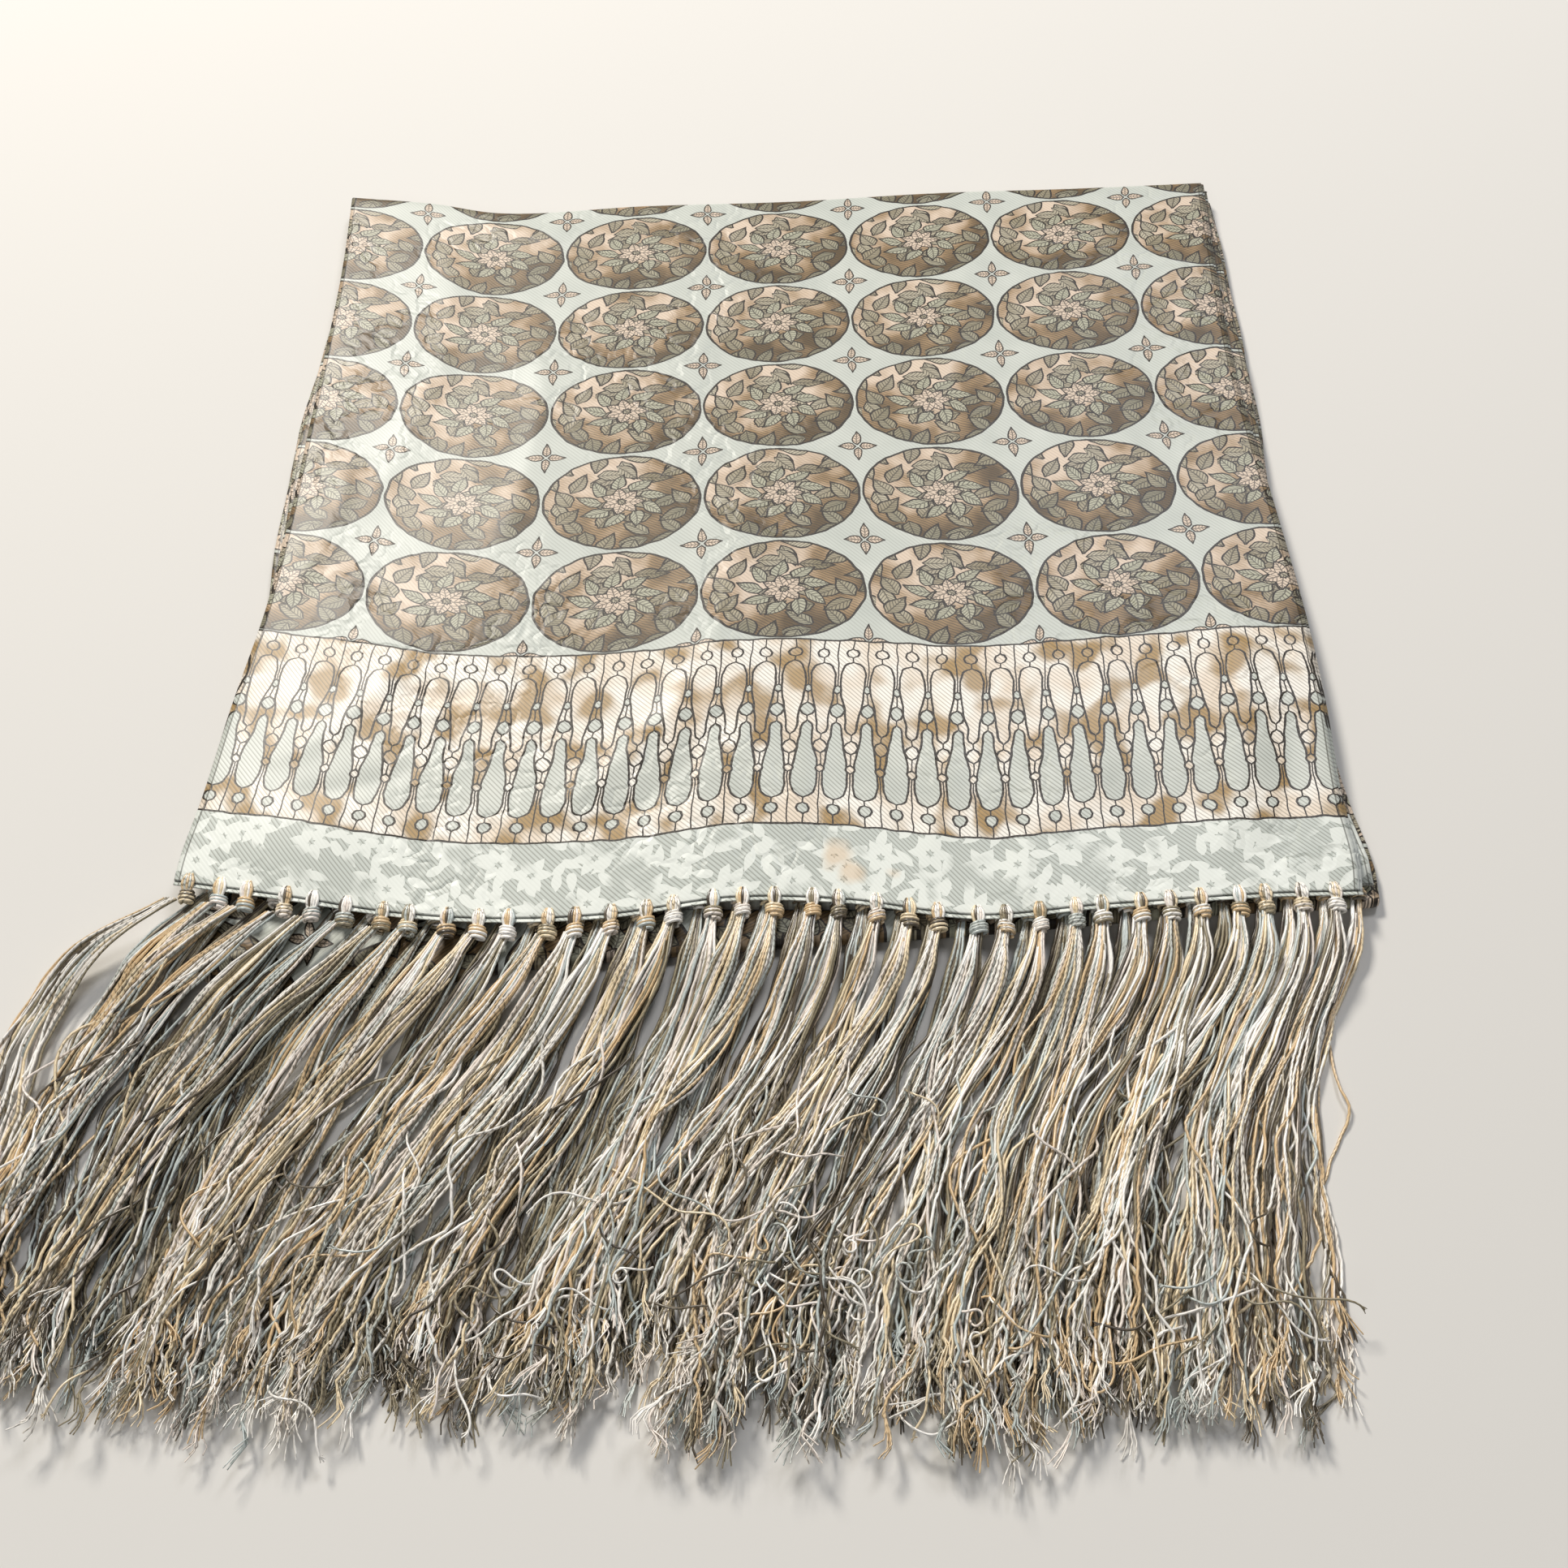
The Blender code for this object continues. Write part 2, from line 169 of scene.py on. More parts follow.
# The silk: a fine printed twill with a plain damask band at each end. Ink sinks in, so every colour keeps a
# soft sheen. The print is a generic one: ovals of foliage in straight rows, with a small flower between
# them, over a border of spindles on stems. The UV map is in metres: across, and from the nearer end.
SCARF_WIDTH = 295.0
PANEL_LENGTH = 277.0
BAND_TOP = 21.5
BORDER_TOP = 82.5
OVAL_PITCH = (48.2, 38.0)
OVAL_STRETCH = 1.28
OVAL_RADIUS = 18.3
STEM_PITCH = 8.1
LINE_HALF_WIDTH = 0.3
HAND_SHAKE = 1.1
TWILL_PITCH = 1.4
TWILL_RELIEF = 0.06
FLOWER_SPACING = 12
CRINKLE_SPACING = 17.0
CRINKLE_BEND = 14.0
CRINKLE_RELIEF = 0.35
SEAM_INSET = 1.3
SEAM_HALF_WIDTH = 0.2

INK = "2B231B"
MINT = "D2D5CB"
MINT_SHADE = "B9BEB5"
LEAF = "B3B19A"
LEAF_SHADE = "7E7C64"
BLUSH = "DAC6B0"
TAN = "AB8D66"
BROWN = "5E4A2B"
CREAM = "F8F2E6"
PEACH = "E9D9C4"
PALE_MINT = "DCDED3"
GOLD = "A98A58"
SATIN = "E2E5DC"
SATIN_GROUND = "C4C9C0"
WALE_GROOVE_SHADE = "5A5547"
STAIN = "D8B384"
Stain = namedtuple("Stain", "across along radius")
STAINS = (Stain(16.5, 11.5, 3.6), Stain(20.5, 8.0, 2.6), Stain(31.0, 8.5, 0.8))

LEAF_OUTLINE = ((0, 0), (0.12, 0.42), (0.38, 1.0), (0.62, 0.8), (0.85, 0.3), (1, 0))
SPINDLE_HALF_WIDTH = 3.0
SPINDLE_CURVE_SCALE = 5.0
STEM_HALF_WIDTH = 0.2
OUTLINE_STEPS = 180
# The outline of a spindle and the beads on its stem: shares of the border's height, and of the widest part
SPINDLE_OUTLINE = (
    (0.0, 0.0), (0.055, 0.0), (0.06, 0.3), (0.078, 0.46), (0.096, 0.3), (0.1, 0.0), (0.135, 0.0),
    (0.14, 0.42), (0.155, 0.74), (0.2, 0.98), (0.26, 1.0), (0.33, 0.84), (0.4, 0.58), (0.46, 0.42),
    (0.5, 0.4), (0.52, 0.3), (0.53, 0.0), (0.57, 0.0), (0.575, 0.3), (0.6, 0.56), (0.625, 0.3),
    (0.63, 0.0), (0.7, 0.0), (0.703, 0.22), (0.715, 0.32), (0.727, 0.22), (0.73, 0.0), (1.0, 0.0),
)


def set_curve(socket, points, handles="AUTO"):
    """Draws a Float Curve node's curve through the points, and gives back its output."""
    curve = socket.node.mapping.curves[0]
    curve.points[0].location = points[0]
    curve.points[1].location = points[-1]
    for point in points[1:-1]:
        curve.points.new(*point)
    for point in curve.points:
        point.handle_type = handles
    socket.node.mapping.update()
    return socket


def widened(outline, line):
    """An outline's curve, and one that is wider all round by the width of the line drawn about it."""
    height = BORDER_TOP - BAND_TOP
    places = np.linspace(0, 1, OUTLINE_STEPS + 1)
    inner = np.interp(places, *zip(*outline)) * SPINDLE_HALF_WIDTH
    outer = np.full_like(inner, STEM_HALF_WIDTH)
    for place, width in zip(places, inner):
        near = 1 - ((places - place) * height / line) ** 2
        drawn = (near > 0) & (width > 0)
        outer = np.where(drawn, np.maximum(outer, width + line * np.sqrt(np.maximum(near, 0))), outer)
    return [list(zip(places.tolist(), (side / SPINDLE_CURVE_SCALE).tolist())) for side in (inner, outer)]


def floats(*labels):
    """Sockets for plain numbers, under these labels."""
    return dict.fromkeys(labels, "NodeSocketFloat")


def new_group(name, kind, takes, gives):
    """A node group with named inputs and outputs: the group, and what it is given."""
    group = bpy.data.node_groups.new(name, kind)
    for label, socket_type in takes.items():
        group.interface.new_socket(label, in_out="INPUT", socket_type=socket_type)
    for label, socket_type in gives.items():
        group.interface.new_socket(label, in_out="OUTPUT", socket_type=socket_type)
    return group, add(group, "NodeGroupInput").node.outputs


def leaf_group():
    """One drawn leaf: its fill, and the ink of its outline, midrib and veins."""
    takes = floats("Along", "Across", "Length", "Half width")
    group, given = new_group("drawn leaf", "ShaderNodeTree", takes, floats("Fill", "Ink"))
    place = add(group, "Math DIVIDE", [given["Along"], given["Length"]])
    shape = set_curve(add(group, "FloatCurve", {"Value": place}), LEAF_OUTLINE)
    wide = add(group, "Math MULTIPLY", [shape, given["Half width"]])
    off_rib = add(group, "Math ABSOLUTE", [given["Across"]])
    edge = add(group, "Math SUBTRACT", [off_rib, wide])
    inside = add(group, "Math LESS_THAN", [edge, 0.0])
    between = add(group, "Math COMPARE", [place, 0.5, 0.5])
    fill = add(group, "Math MULTIPLY", [inside, between])
    rim = add(group, "Math COMPARE", [edge, 0.0, 0.24])
    near = add(group, "Math COMPARE", [place, 0.5, 0.54])
    outline = add(group, "Math MULTIPLY", [rim, near])
    rib = add(group, "Math LESS_THAN", [off_rib, 0.17])
    slant = add(group, "Math MULTIPLY_ADD", [off_rib, -0.9, given["Along"]])
    spacing = add(group, "Math PINGPONG", [slant, 0.5])
    vein = add(group, "Math LESS_THAN", [spacing, 0.14])
    lines = add(group, "Math MAXIMUM", [rib, vein])
    faint = add(group, "Math MULTIPLY", [lines, 0.75])
    drawn = add(group, "Math MULTIPLY", [faint, fill])
    ink = add(group, "Math MAXIMUM", [drawn, outline])
    add(group, "NodeGroupOutput", {"Fill": fill, "Ink": ink})
    return group


def ring_group(leaf):
    """A ring of leaves round a centre. Lean slants them, in radians for each millimetre out."""
    takes = floats("Radius", "Angle", "Count", "Start", "Length", "Half width", "Lean")
    group, given = new_group("ring of leaves", "ShaderNodeTree", takes, floats("Fill", "Ink"))
    sector = add(group, "Math DIVIDE", [2 * math.pi, given["Count"]])
    high = add(group, "Math MULTIPLY", [sector, 0.5])
    low = add(group, "Math MULTIPLY", [sector, -0.5])
    angle = add(group, "Math MULTIPLY_ADD", [given["Radius"], given["Lean"], given["Angle"]])
    wrapped = add(group, "Math WRAP", [angle, high, low])
    across = add(group, "Math MULTIPLY", [wrapped, given["Radius"]])
    along = add(group, "Math SUBTRACT", [given["Radius"], given["Start"]])
    wired = [along, across, given["Length"], given["Half width"]]
    drawn = add(group, "Group", wired, node_tree=leaf).node.outputs
    add(group, "NodeGroupOutput", {"Fill": drawn["Fill"], "Ink": drawn["Ink"]})
    return group


def scatter_group(leaf):
    """Leaves strewn over the cloth, each turned its own way. Tint is a random number for each."""
    takes = {"Place": "NodeSocketVector", **floats("Spacing", "Length", "Half width")}
    group, given = new_group("strewn leaves", "ShaderNodeTree", takes, floats("Fill", "Ink", "Tint"))
    scale = add(group, "Math DIVIDE", [1.0, given["Spacing"]])
    wired = {"Vector": given["Place"], "Scale": scale, "Randomness": 0.75}
    cell = add(group, "TexVoronoi", wired, voronoi_dimensions="2D").node.outputs
    local = add(group, "VectorMath SUBTRACT", [given["Place"], cell["Position"]])
    picked = add(group, "SeparateXYZ", [cell["Color"]]).node.outputs
    turn = add(group, "Math MULTIPLY", [picked["X"], 2 * math.pi])
    turned = add(group, "VectorRotate", {"Vector": local, "Angle": turn}, rotation_type="Z_AXIS")
    spot = add(group, "SeparateXYZ", [turned]).node.outputs
    along = add(group, "Math MULTIPLY_ADD", [given["Length"], 0.5, spot["X"]])
    wired = [along, spot["Y"], given["Length"], given["Half width"]]
    drawn = add(group, "Group", wired, node_tree=leaf).node.outputs
    add(group, "NodeGroupOutput", {"Fill": drawn["Fill"], "Ink": drawn["Ink"], "Tint": picked["Y"]})
    return group


def paint_over(tree, paint, layers):
    """Lays masks of colour over a paint, one after the other."""
    for mask, colour in layers:
        paint = add(tree, "Mix", [mask, paint, colour], data_type="RGBA")
    return paint


def silk_twill():
    """Printed silk twill: flat inks, fine diagonal wales with painted groove shade, and a low soft gloss.
    """
    gloss = {"Roughness": 0.42, "Specular_IOR_Level": 0.36, "Sheen_Weight": 0.12, "Sheen_Roughness": 0.4}
    silk, tree, shader = new_finish("printed_silk_twill", **gloss)
    leaf = leaf_group()
    ring = ring_group(leaf)
    strewn = scatter_group(leaf)
    ink = linear(INK)

    # Where on the cloth: true for the weave, and a little unsteady for the drawing, as by hand. Wash and
    # blot are soft patches of colour in the drawing, and the last noise says where the silk is crumpled.
    uv = add(tree, "UVMap", uv_map="cloth")
    plan = add(tree, "VectorMath SCALE", [uv, 1 / MM])
    noises = []
    for scale, detail in ((0.16, 1.0), (0.07, 2.0), (0.085, 1.0), (0.018, 1.0)):
        wired = {"Vector": plan, "Scale": scale, "Detail": detail}
        noises.append(add(tree, "TexNoise", wired, noise_dimensions="2D"))
    shake, wash, blot, spread = noises
    shift = add(tree, "VectorMath SUBTRACT", [shake.node.outputs["Color"], (0.5, 0.5, 0.5)])
    hand = add(tree, "VectorMath MULTIPLY_ADD", [shift, (HAND_SHAKE, HAND_SHAKE, 0.0), plan])
    drawn_at = add(tree, "SeparateXYZ", [hand]).node.outputs
    woven_at = add(tree, "SeparateXYZ", [plan]).node.outputs
    x, y = drawn_at["X"], drawn_at["Y"]

    # Two grids of places: the ovals' middles, and the gaps' middles half a pitch away
    grids = []
    for share in (0.0, 0.5):
        cell = []
        starts = (0.0, BORDER_TOP + OVAL_PITCH[1] / 2)
        for value, pitch, start in zip((x, y), OVAL_PITCH, starts):
            moved = add(tree, "Math SUBTRACT", [value, start + pitch * share])
            cell.append(add(tree, "Math WRAP", [moved, pitch / 2, -pitch / 2]))
        stretch = OVAL_STRETCH if share == 0.0 else 1.0
        narrow = add(tree, "Math DIVIDE", [cell[0], stretch])
        spot = add(tree, "CombineXYZ", [narrow, cell[1]])
        far = add(tree, "VectorMath LENGTH", [spot])
        turn = add(tree, "Math ARCTAN2", [cell[1], narrow])
        grids.append({"Place": spot, "Radius": far, "Angle": turn})
    oval, gap = grids

    # The ovals: foliage in ink on a ground that darkens from blush to brown, towards rim and hem
    down = add(tree, "VectorMath DOT_PRODUCT", [oval["Place"], (0.008, -0.014, 0.0)])
    rimward = add(tree, "Math MULTIPLY_ADD", [oval["Radius"], 0.018, down])
    depth = add(tree, "Math ADD", [rimward, wash])
    to_tan = add(tree, "MapRange", [depth, 0.46, 0.78])
    to_brown = add(tree, "MapRange", [depth, 0.7, 1.04])
    ground = paint_over(tree, linear(BLUSH), [(to_tan, linear(TAN)), (to_brown, linear(BROWN))])
    hatch_at = add(tree, "VectorMath DOT_PRODUCT", [oval["Place"], (0.8, 1.3, 0.0)])
    hatch_off = add(tree, "Math PINGPONG", [hatch_at, 0.62])
    hatch = add(tree, "Math LESS_THAN", [hatch_off, 0.2])
    hatched = add(tree, "Math MULTIPLY", [hatch, to_tan])
    layers = [(add(tree, "Math MULTIPLY", [hatched, 0.6]), ink)]
    for spacing, length, half_width in ((7.6, 8.4, 1.9), (9.2, 7.6, 2.1)):
        place = add(tree, "VectorMath ADD", [oval["Place"], (spacing * 7, length * 5, 0.0)])
        wired = {"Place": place, "Spacing": spacing, "Length": length, "Half width": half_width}
        drawn = add(tree, "Group", wired, node_tree=strewn).node.outputs
        tinted = paint_over(tree, linear(LEAF), [(drawn["Tint"], linear(LEAF_SHADE)), (0.3, ground)])
        layers += [(drawn["Fill"], tinted), (drawn["Ink"], ink)]
    rings = ((9, 4.6, 6.4, 1.9, 0.05, LEAF), (7, 0.8, 4.6, 1.6, 0.0, BLUSH))
    for count, start, length, half_width, lean, colour in rings:
        wired = {"Radius": oval["Radius"], "Angle": oval["Angle"], "Count": count, "Start": start}
        wired |= {"Length": length, "Half width": half_width, "Lean": lean}
        drawn = add(tree, "Group", wired, node_tree=ring).node.outputs
        layers += [(drawn["Fill"], linear(colour)), (drawn["Ink"], ink)]
    foliage = paint_over(tree, ground, layers)

    # Between the ovals: bare mint silk with one small four-petalled flower
    wired = {"Radius": gap["Radius"], "Angle": gap["Angle"], "Count": 4.0, "Start": 0.6, "Length": 5.4}
    drawn = add(tree, "Group", {**wired, "Half width": 1.3}, node_tree=ring).node.outputs
    within = add(tree, "Math LESS_THAN", [oval["Radius"], OVAL_RADIUS])
    rim = add(tree, "Math COMPARE", [oval["Radius"], OVAL_RADIUS, LINE_HALF_WIDTH])
    layers = [(wash, linear(MINT)), (drawn["Fill"], linear(BLUSH)), (drawn["Ink"], ink)]
    field = paint_over(tree, linear(MINT_SHADE), [*layers, (within, foliage), (rim, ink)])

    # The border: spindles on stems over a ground with blots of gold. Every second one is upside down, and
    # cream with larger blots instead of mint
    height = add(tree, "MapRange", [y, BAND_TOP, BORDER_TOP])
    upside = add(tree, "Math SUBTRACT", [1.0, height])
    pale = add(tree, "MapRange", [wash, 0.35, 0.6])
    blotted = add(tree, "MapRange", [blot, 0.46, 0.68], interpolation_type="SMOOTHSTEP")
    border = paint_over(tree, linear(PEACH), [(pale, linear(CREAM)), (blotted, linear(GOLD))])
    pale_mint = paint_over(tree, linear(MINT_SHADE), [(wash, linear(PALE_MINT))])
    soaked = add(tree, "MapRange", [blot, 0.45, 0.7, 0.0, 0.9], interpolation_type="SMOOTHSTEP")
    golden = paint_over(tree, linear(PEACH), [(pale, linear(CREAM)), (soaked, linear(GOLD))])
    curves = widened(SPINDLE_OUTLINE, 2 * LINE_HALF_WIDTH)
    for start, share, fill in ((0.0, height, pale_mint), (STEM_PITCH / 2, upside, golden)):
        moved = add(tree, "Math SUBTRACT", [x, start])
        local = add(tree, "Math WRAP", [moved, STEM_PITCH / 2, -STEM_PITCH / 2])
        off_stem = add(tree, "Math ABSOLUTE", [local])
        masks = []
        for points in curves:
            shape = set_curve(add(tree, "FloatCurve", {"Value": share}), points, "VECTOR")
            wide = add(tree, "Math MULTIPLY", [shape, SPINDLE_CURVE_SCALE])
            masks.append(add(tree, "Math LESS_THAN", [off_stem, wide]))
        border = paint_over(tree, border, [(masks[1], ink), (masks[0], fill)])

    # The damask band: flowers and leaves of plain satin on a ground of twill
    wired = {"Vector": plan, "Scale": 1 / FLOWER_SPACING, "Randomness": 0.6}
    cell = add(tree, "TexVoronoi", wired, voronoi_dimensions="2D")
    local = add(tree, "VectorMath SUBTRACT", [plan, cell.node.outputs["Position"]])
    spot = add(tree, "SeparateXYZ", [local]).node.outputs
    far = add(tree, "VectorMath LENGTH", [local])
    turn = add(tree, "Math ARCTAN2", [spot["Y"], spot["X"]])
    wired = {"Radius": far, "Angle": turn, "Count": 6.0, "Start": 0.7, "Length": 5.0, "Half width": 1.55}
    flowers = add(tree, "Group", wired, node_tree=ring)
    wired = {"Place": plan, "Spacing": 6.2, "Length": 7.0, "Half width": 1.3}
    leaves = add(tree, "Group", wired, node_tree=strewn)
    figure = add(tree, "Math MAXIMUM", [flowers, leaves])
    # Stands in for sheen: the satin figure is left out in patches, where sheen would hide the damask
    figure_out_of_sheen = add(tree, "MapRange", [wash, 0.32, 0.46])
    satin = add(tree, "Math MULTIPLY", [figure, figure_out_of_sheen])
    band = paint_over(tree, linear(SATIN_GROUND), [(satin, linear(SATIN))])
    for stain in STAINS:
        centre = (stain.across, stain.along, 0.0)
        away = add(tree, "VectorMath DISTANCE", [hand, centre])
        ragged = add(tree, "Math MULTIPLY_ADD", [wash, 9.0, away])
        soaked = add(tree, "MapRange", [ragged, stain.radius + 6.0, stain.radius + 3.4, 0.0, 0.5])
        band = paint_over(tree, band, [(soaked, linear(STAIN))])

    # The zones, with printed lines at the border's edges and side seams, and a painted shadow line at the
    # hem
    in_border = add(tree, "Math GREATER_THAN", [y, BAND_TOP])
    in_field = add(tree, "Math GREATER_THAN", [y, BORDER_TOP])
    low_line = add(tree, "Math COMPARE", [y, BAND_TOP, LINE_HALF_WIDTH])
    high_line = add(tree, "Math COMPARE", [y, BORDER_TOP, LINE_HALF_WIDTH])
    from_middle = add(tree, "Math ABSOLUTE", [woven_at["X"]])
    seam = add(tree, "Math COMPARE", [from_middle, SCARF_WIDTH / 2 - SEAM_INSET, SEAM_HALF_WIDTH])
    stitched = add(tree, "Math MULTIPLY", [seam, 0.6])
    # Painted shadow: a dark line at the hem, in the gap where the face ply's edge lies over the second ply
    ply_gap = add(tree, "Math COMPARE", [woven_at["Y"], 0.1, 0.3])
    painted_gap_shadow = add(tree, "Math MULTIPLY", [ply_gap, 0.45])
    lines = [(mask, ink) for mask in (low_line, high_line, stitched, painted_gap_shadow)]
    printed = paint_over(tree, band, [(in_border, border), (in_field, field), *lines])

    # The weave: wales at 45 degrees, drawn 1.4 mm apart, because the real 0.87 mm is too fine to show.
    # Their grooves get painted shade, plain to see on the band's ground and on the border, and faint on the
    # field.
    diagonal = add(tree, "Math ADD", [woven_at["X"], woven_at["Y"]])
    wale = add(tree, "Math PINGPONG", [diagonal, TWILL_PITCH / 2])
    groove = add(tree, "MapRange", [wale, 0.34, 0.12])
    on_band = add(tree, "MapRange", [satin, 0.0, 1.0, 0.48, 0.05])
    on_print = add(tree, "MapRange", [in_field, 0.0, 1.0, 0.46, 0.2])
    plain = add(tree, "Mix", [in_border, on_band, on_print], data_type="FLOAT")
    lines = add(tree, "Math MULTIPLY", [groove, plain])
    # Painted shade: the grooves between the wales are drawn darker
    shaded_wales = paint_over(tree, printed, [(lines, linear(WALE_GROOVE_SHADE))])

    # Crinkles: sharp little folds in some places, which no ironing has taken out
    bent = add(tree, "VectorMath MULTIPLY_ADD", [shift, (CRINKLE_BEND, CRINKLE_BEND, 0.0), plan])
    wired = {"Vector": bent, "Scale": 1 / CRINKLE_SPACING, "Randomness": 1.0}
    cell = add(tree, "TexVoronoi", wired, voronoi_dimensions="2D", feature="DISTANCE_TO_EDGE")
    facet = add(tree, "MapRange", [cell, 0.0, 0.16])
    crumpled = add(tree, "MapRange", [spread, 0.44, 0.6])
    crinkle = add(tree, "Math MULTIPLY", [facet, crumpled])
    folded = add(tree, "Bump", {"Strength": 0.5, "Distance": CRINKLE_RELIEF * MM, "Height": crinkle})
    wired = {"Strength": 0.3, "Distance": TWILL_RELIEF * MM, "Height": wale, "Normal": folded}
    relief = add(tree, "Bump", wired)
    tree.links.new(shaded_wales, shader.inputs["Base Color"])
    tree.links.new(relief, shader.inputs["Normal"])
    return silk


printed_silk = silk_twill()


# The face ply: the upper of the two silk plies of the top panel, from its narrow hem over the stack and
# down round the outer fold. It lies loosely, with low swells, sharp creases from storage, and a hem that
# the knots draw into waves.
PLY_THICKNESS = 0.3
FACE_HEIGHT = 7.3
FOLD_HEIGHT = 3.8
FOLD_END_DEGREES = -84.0
FACE_COLUMNS = 176
FACE_ROWS = 150
FOLD_STEPS = 12
ROW_CROWDING = 1.4
EDGE_DROP = 0.06
EDGE_WIDTH = 1.2

Point = namedtuple("Point", "across along")
HEM_LINE = (
    Point(-152, 6.0), Point(-125, 1.5), Point(-95, -3.0), Point(-68, -4.5), Point(-42, -3.0),
    Point(-12, 1.5), Point(15, 1.0), Point(48, -3.5), Point(80, -0.5), Point(118, 2.5), Point(150, 3.5),
)
FOLD_LINE = (
    Point(-152, 278.0), Point(-124, 274.6), Point(-101, 269.6), Point(-50, 273.4),
    Point(0, 275.8), Point(50, 280.4), Point(100, 283.0), Point(150, 286.5),
)
Side = namedtuple("Side", "along left right under_left under_right")
SIDES = (
    Side(-30, -152.0, 142.8, -143.0, 147.5),
    Side(0, -152.0, 142.8, -146.0, 150.5),
    Side(12, -152.0, 144.2, -147.5, 151.0),
    Side(30, -150.0, 143.4, -148.0, 148.0),
    Side(60, -148.2, 144.6, -147.0, 147.3),
    Side(95, -145.0, 144.8, -148.0, 147.1),
    Side(125, -144.4, 143.8, -149.0, 145.5),
    Side(160, -144.6, 142.0, -149.8, 147.1),
    Side(190, -145.0, 141.0, -149.6, 148.7),
    Side(235, -145.8, 141.8, -146.4, 148.5),
    Side(290, -149.2, 144.8, -146.0, 148.7),
)
Swell = namedtuple("Swell", "across along rise wide long")
SWELLS = (
    Swell(-122, 22, 2.2, 24, 26),
    Swell(-16, 62, 1.3, 16, 48),
    Swell(62, 40, 0.9, 20, 40),
    Swell(130, 70, 1.6, 22, 40),
    Swell(-70, 150, 0.8, 30, 60),
    Swell(70, 190, 0.9, 36, 60),
    Swell(118, 255, 1.3, 40, 34),
)

# Creases, from one end to the other, with their height, or depth, and half width
Crease = namedtuple("Crease", "across along to_across to_along rise wide")
CREASES = (
    Crease(-108, 66, -84, 62, -0.55, 2.2),
    Crease(-106, 60, -88, 57, 0.45, 2.4),
    Crease(-134, 40, -104, 74, 0.7, 5.0),
    Crease(-128, 30, -96, 40, -0.5, 4.0),
    Crease(-60, 26, -22, 72, 0.75, 4.5),
    Crease(-50, 20, -12, 60, -0.55, 4.0),
    Crease(-22, 70, -14, 150, 0.4, 4.5),
    Crease(4, 20, 0, 96, 0.55, 5.0),
    Crease(36, 10, 46, 84, 0.5, 4.5),
    Crease(52, 4, 60, 60, -0.4, 4.0),
    Crease(78, 24, 86, 100, 0.5, 5.0),
    Crease(110, 12, 124, 92, 0.7, 5.5),
    Crease(120, 6, 134, 60, -0.55, 4.5),
    Crease(96, 110, 104, 190, 0.35, 5.0),
    Crease(-84, 110, -78, 200, 0.35, 5.0),
    Crease(-40, 176, -10, 262, 0.3, 5.0),
    Crease(30, 150, 64, 262, 0.35, 6.0),
    Crease(-126, 120, -110, 250, 0.4, 6.0),
    Crease(116, 176, 130, 264, 0.5, 6.0),
    Crease(-104, 262, -60, 256, 0.6, 5.0),
    Crease(60, 268, 116, 260, 0.5, 5.0),
    Crease(-142, 96, -130, 150, 0.6, 5.0),
)


def curve_through(places, values, at):
    """A smooth curve through the values, read at one place. It runs straight on past both ends."""
    last = len(places) - 1
    i = 0
    while i < last - 1 and at > places[i + 1]:
        i += 1
    span = places[i + 1] - places[i]
    t = (at - places[i]) / span
    chord = (values[i + 1] - values[i]) / span
    before = after = chord
    if i > 0:
        before = (values[i] - values[i - 1]) / (places[i] - places[i - 1])
    if i + 2 <= last:
        after = (values[i + 2] - values[i + 1]) / (places[i + 2] - places[i + 1])
    if t <= 0:
        return values[i] + chord * (at - places[i])
    if t >= 1:
        return values[i + 1] + chord * (at - places[i + 1])
    start = (before + chord) / 2 * span
    end = (chord + after) / 2 * span
    rise = values[i + 1] - values[i]
    return values[i] + start * t + (3 * rise - 2 * start - end) * t**2 + (start + end - 2 * rise) * t**3


def line_at(line, across):
    return curve_through([p.across for p in line], [p.along for p in line], across)


def side_at(column, along):
    return curve_through([s.along for s in SIDES], [getattr(s, column) for s in SIDES], along)


def smoothstep(t):
    t = np.clip(t, 0.0, 1.0)
    return t * t * (3 - 2 * t)


def lift(across, along):
    """How far the top panel rises off the panels below it, fading out before the back fold."""
    total = 0.0
    for s in SWELLS:
        far = ((across - s.across) / s.wide) ** 2
        total = total + s.rise * np.exp(-far - ((along - s.along) / s.long) ** 2)
    return total * smoothstep((PANEL_LENGTH - along) / 40)


def creasing(across, along):
    """The relief of the creases, which fade at both ends, over a low unevenness."""
    total = 0.12 * np.sin(across / 9 + along / 31) * np.sin(along / 14 + across / 43)
    for c in CREASES:
        run = np.array((c.to_across - c.across, c.to_along - c.along))
        reach = np.hypot(*run)
        t = ((across - c.across) * run[0] + (along - c.along) * run[1]) / reach**2
        off = ((across - c.across) * run[1] - (along - c.along) * run[0]) / reach
        bow = 0.06 * reach * np.sin(np.pi * np.clip(t, 0, 1))
        fade = np.clip(t * (1 - t) * 6 + 0.15, 0, 1) * (t > -0.05) * (t < 1.05)
        total = total + c.rise * fade * np.exp(-np.abs((off - bow) / c.wide) ** 1.6)
    return total


def lay_map(sheet, cloth_map):
    """The map of a sheet: for each point, its place across and along the uncut cloth."""
    layer = sheet.data.uv_layers.new(name="cloth")
    corners = np.array([loop.vertex_index for loop in sheet.data.loops])
    layer.uv.foreach_set("vector", (np.array(cloth_map)[corners] * MM).astype(np.float32).ravel())


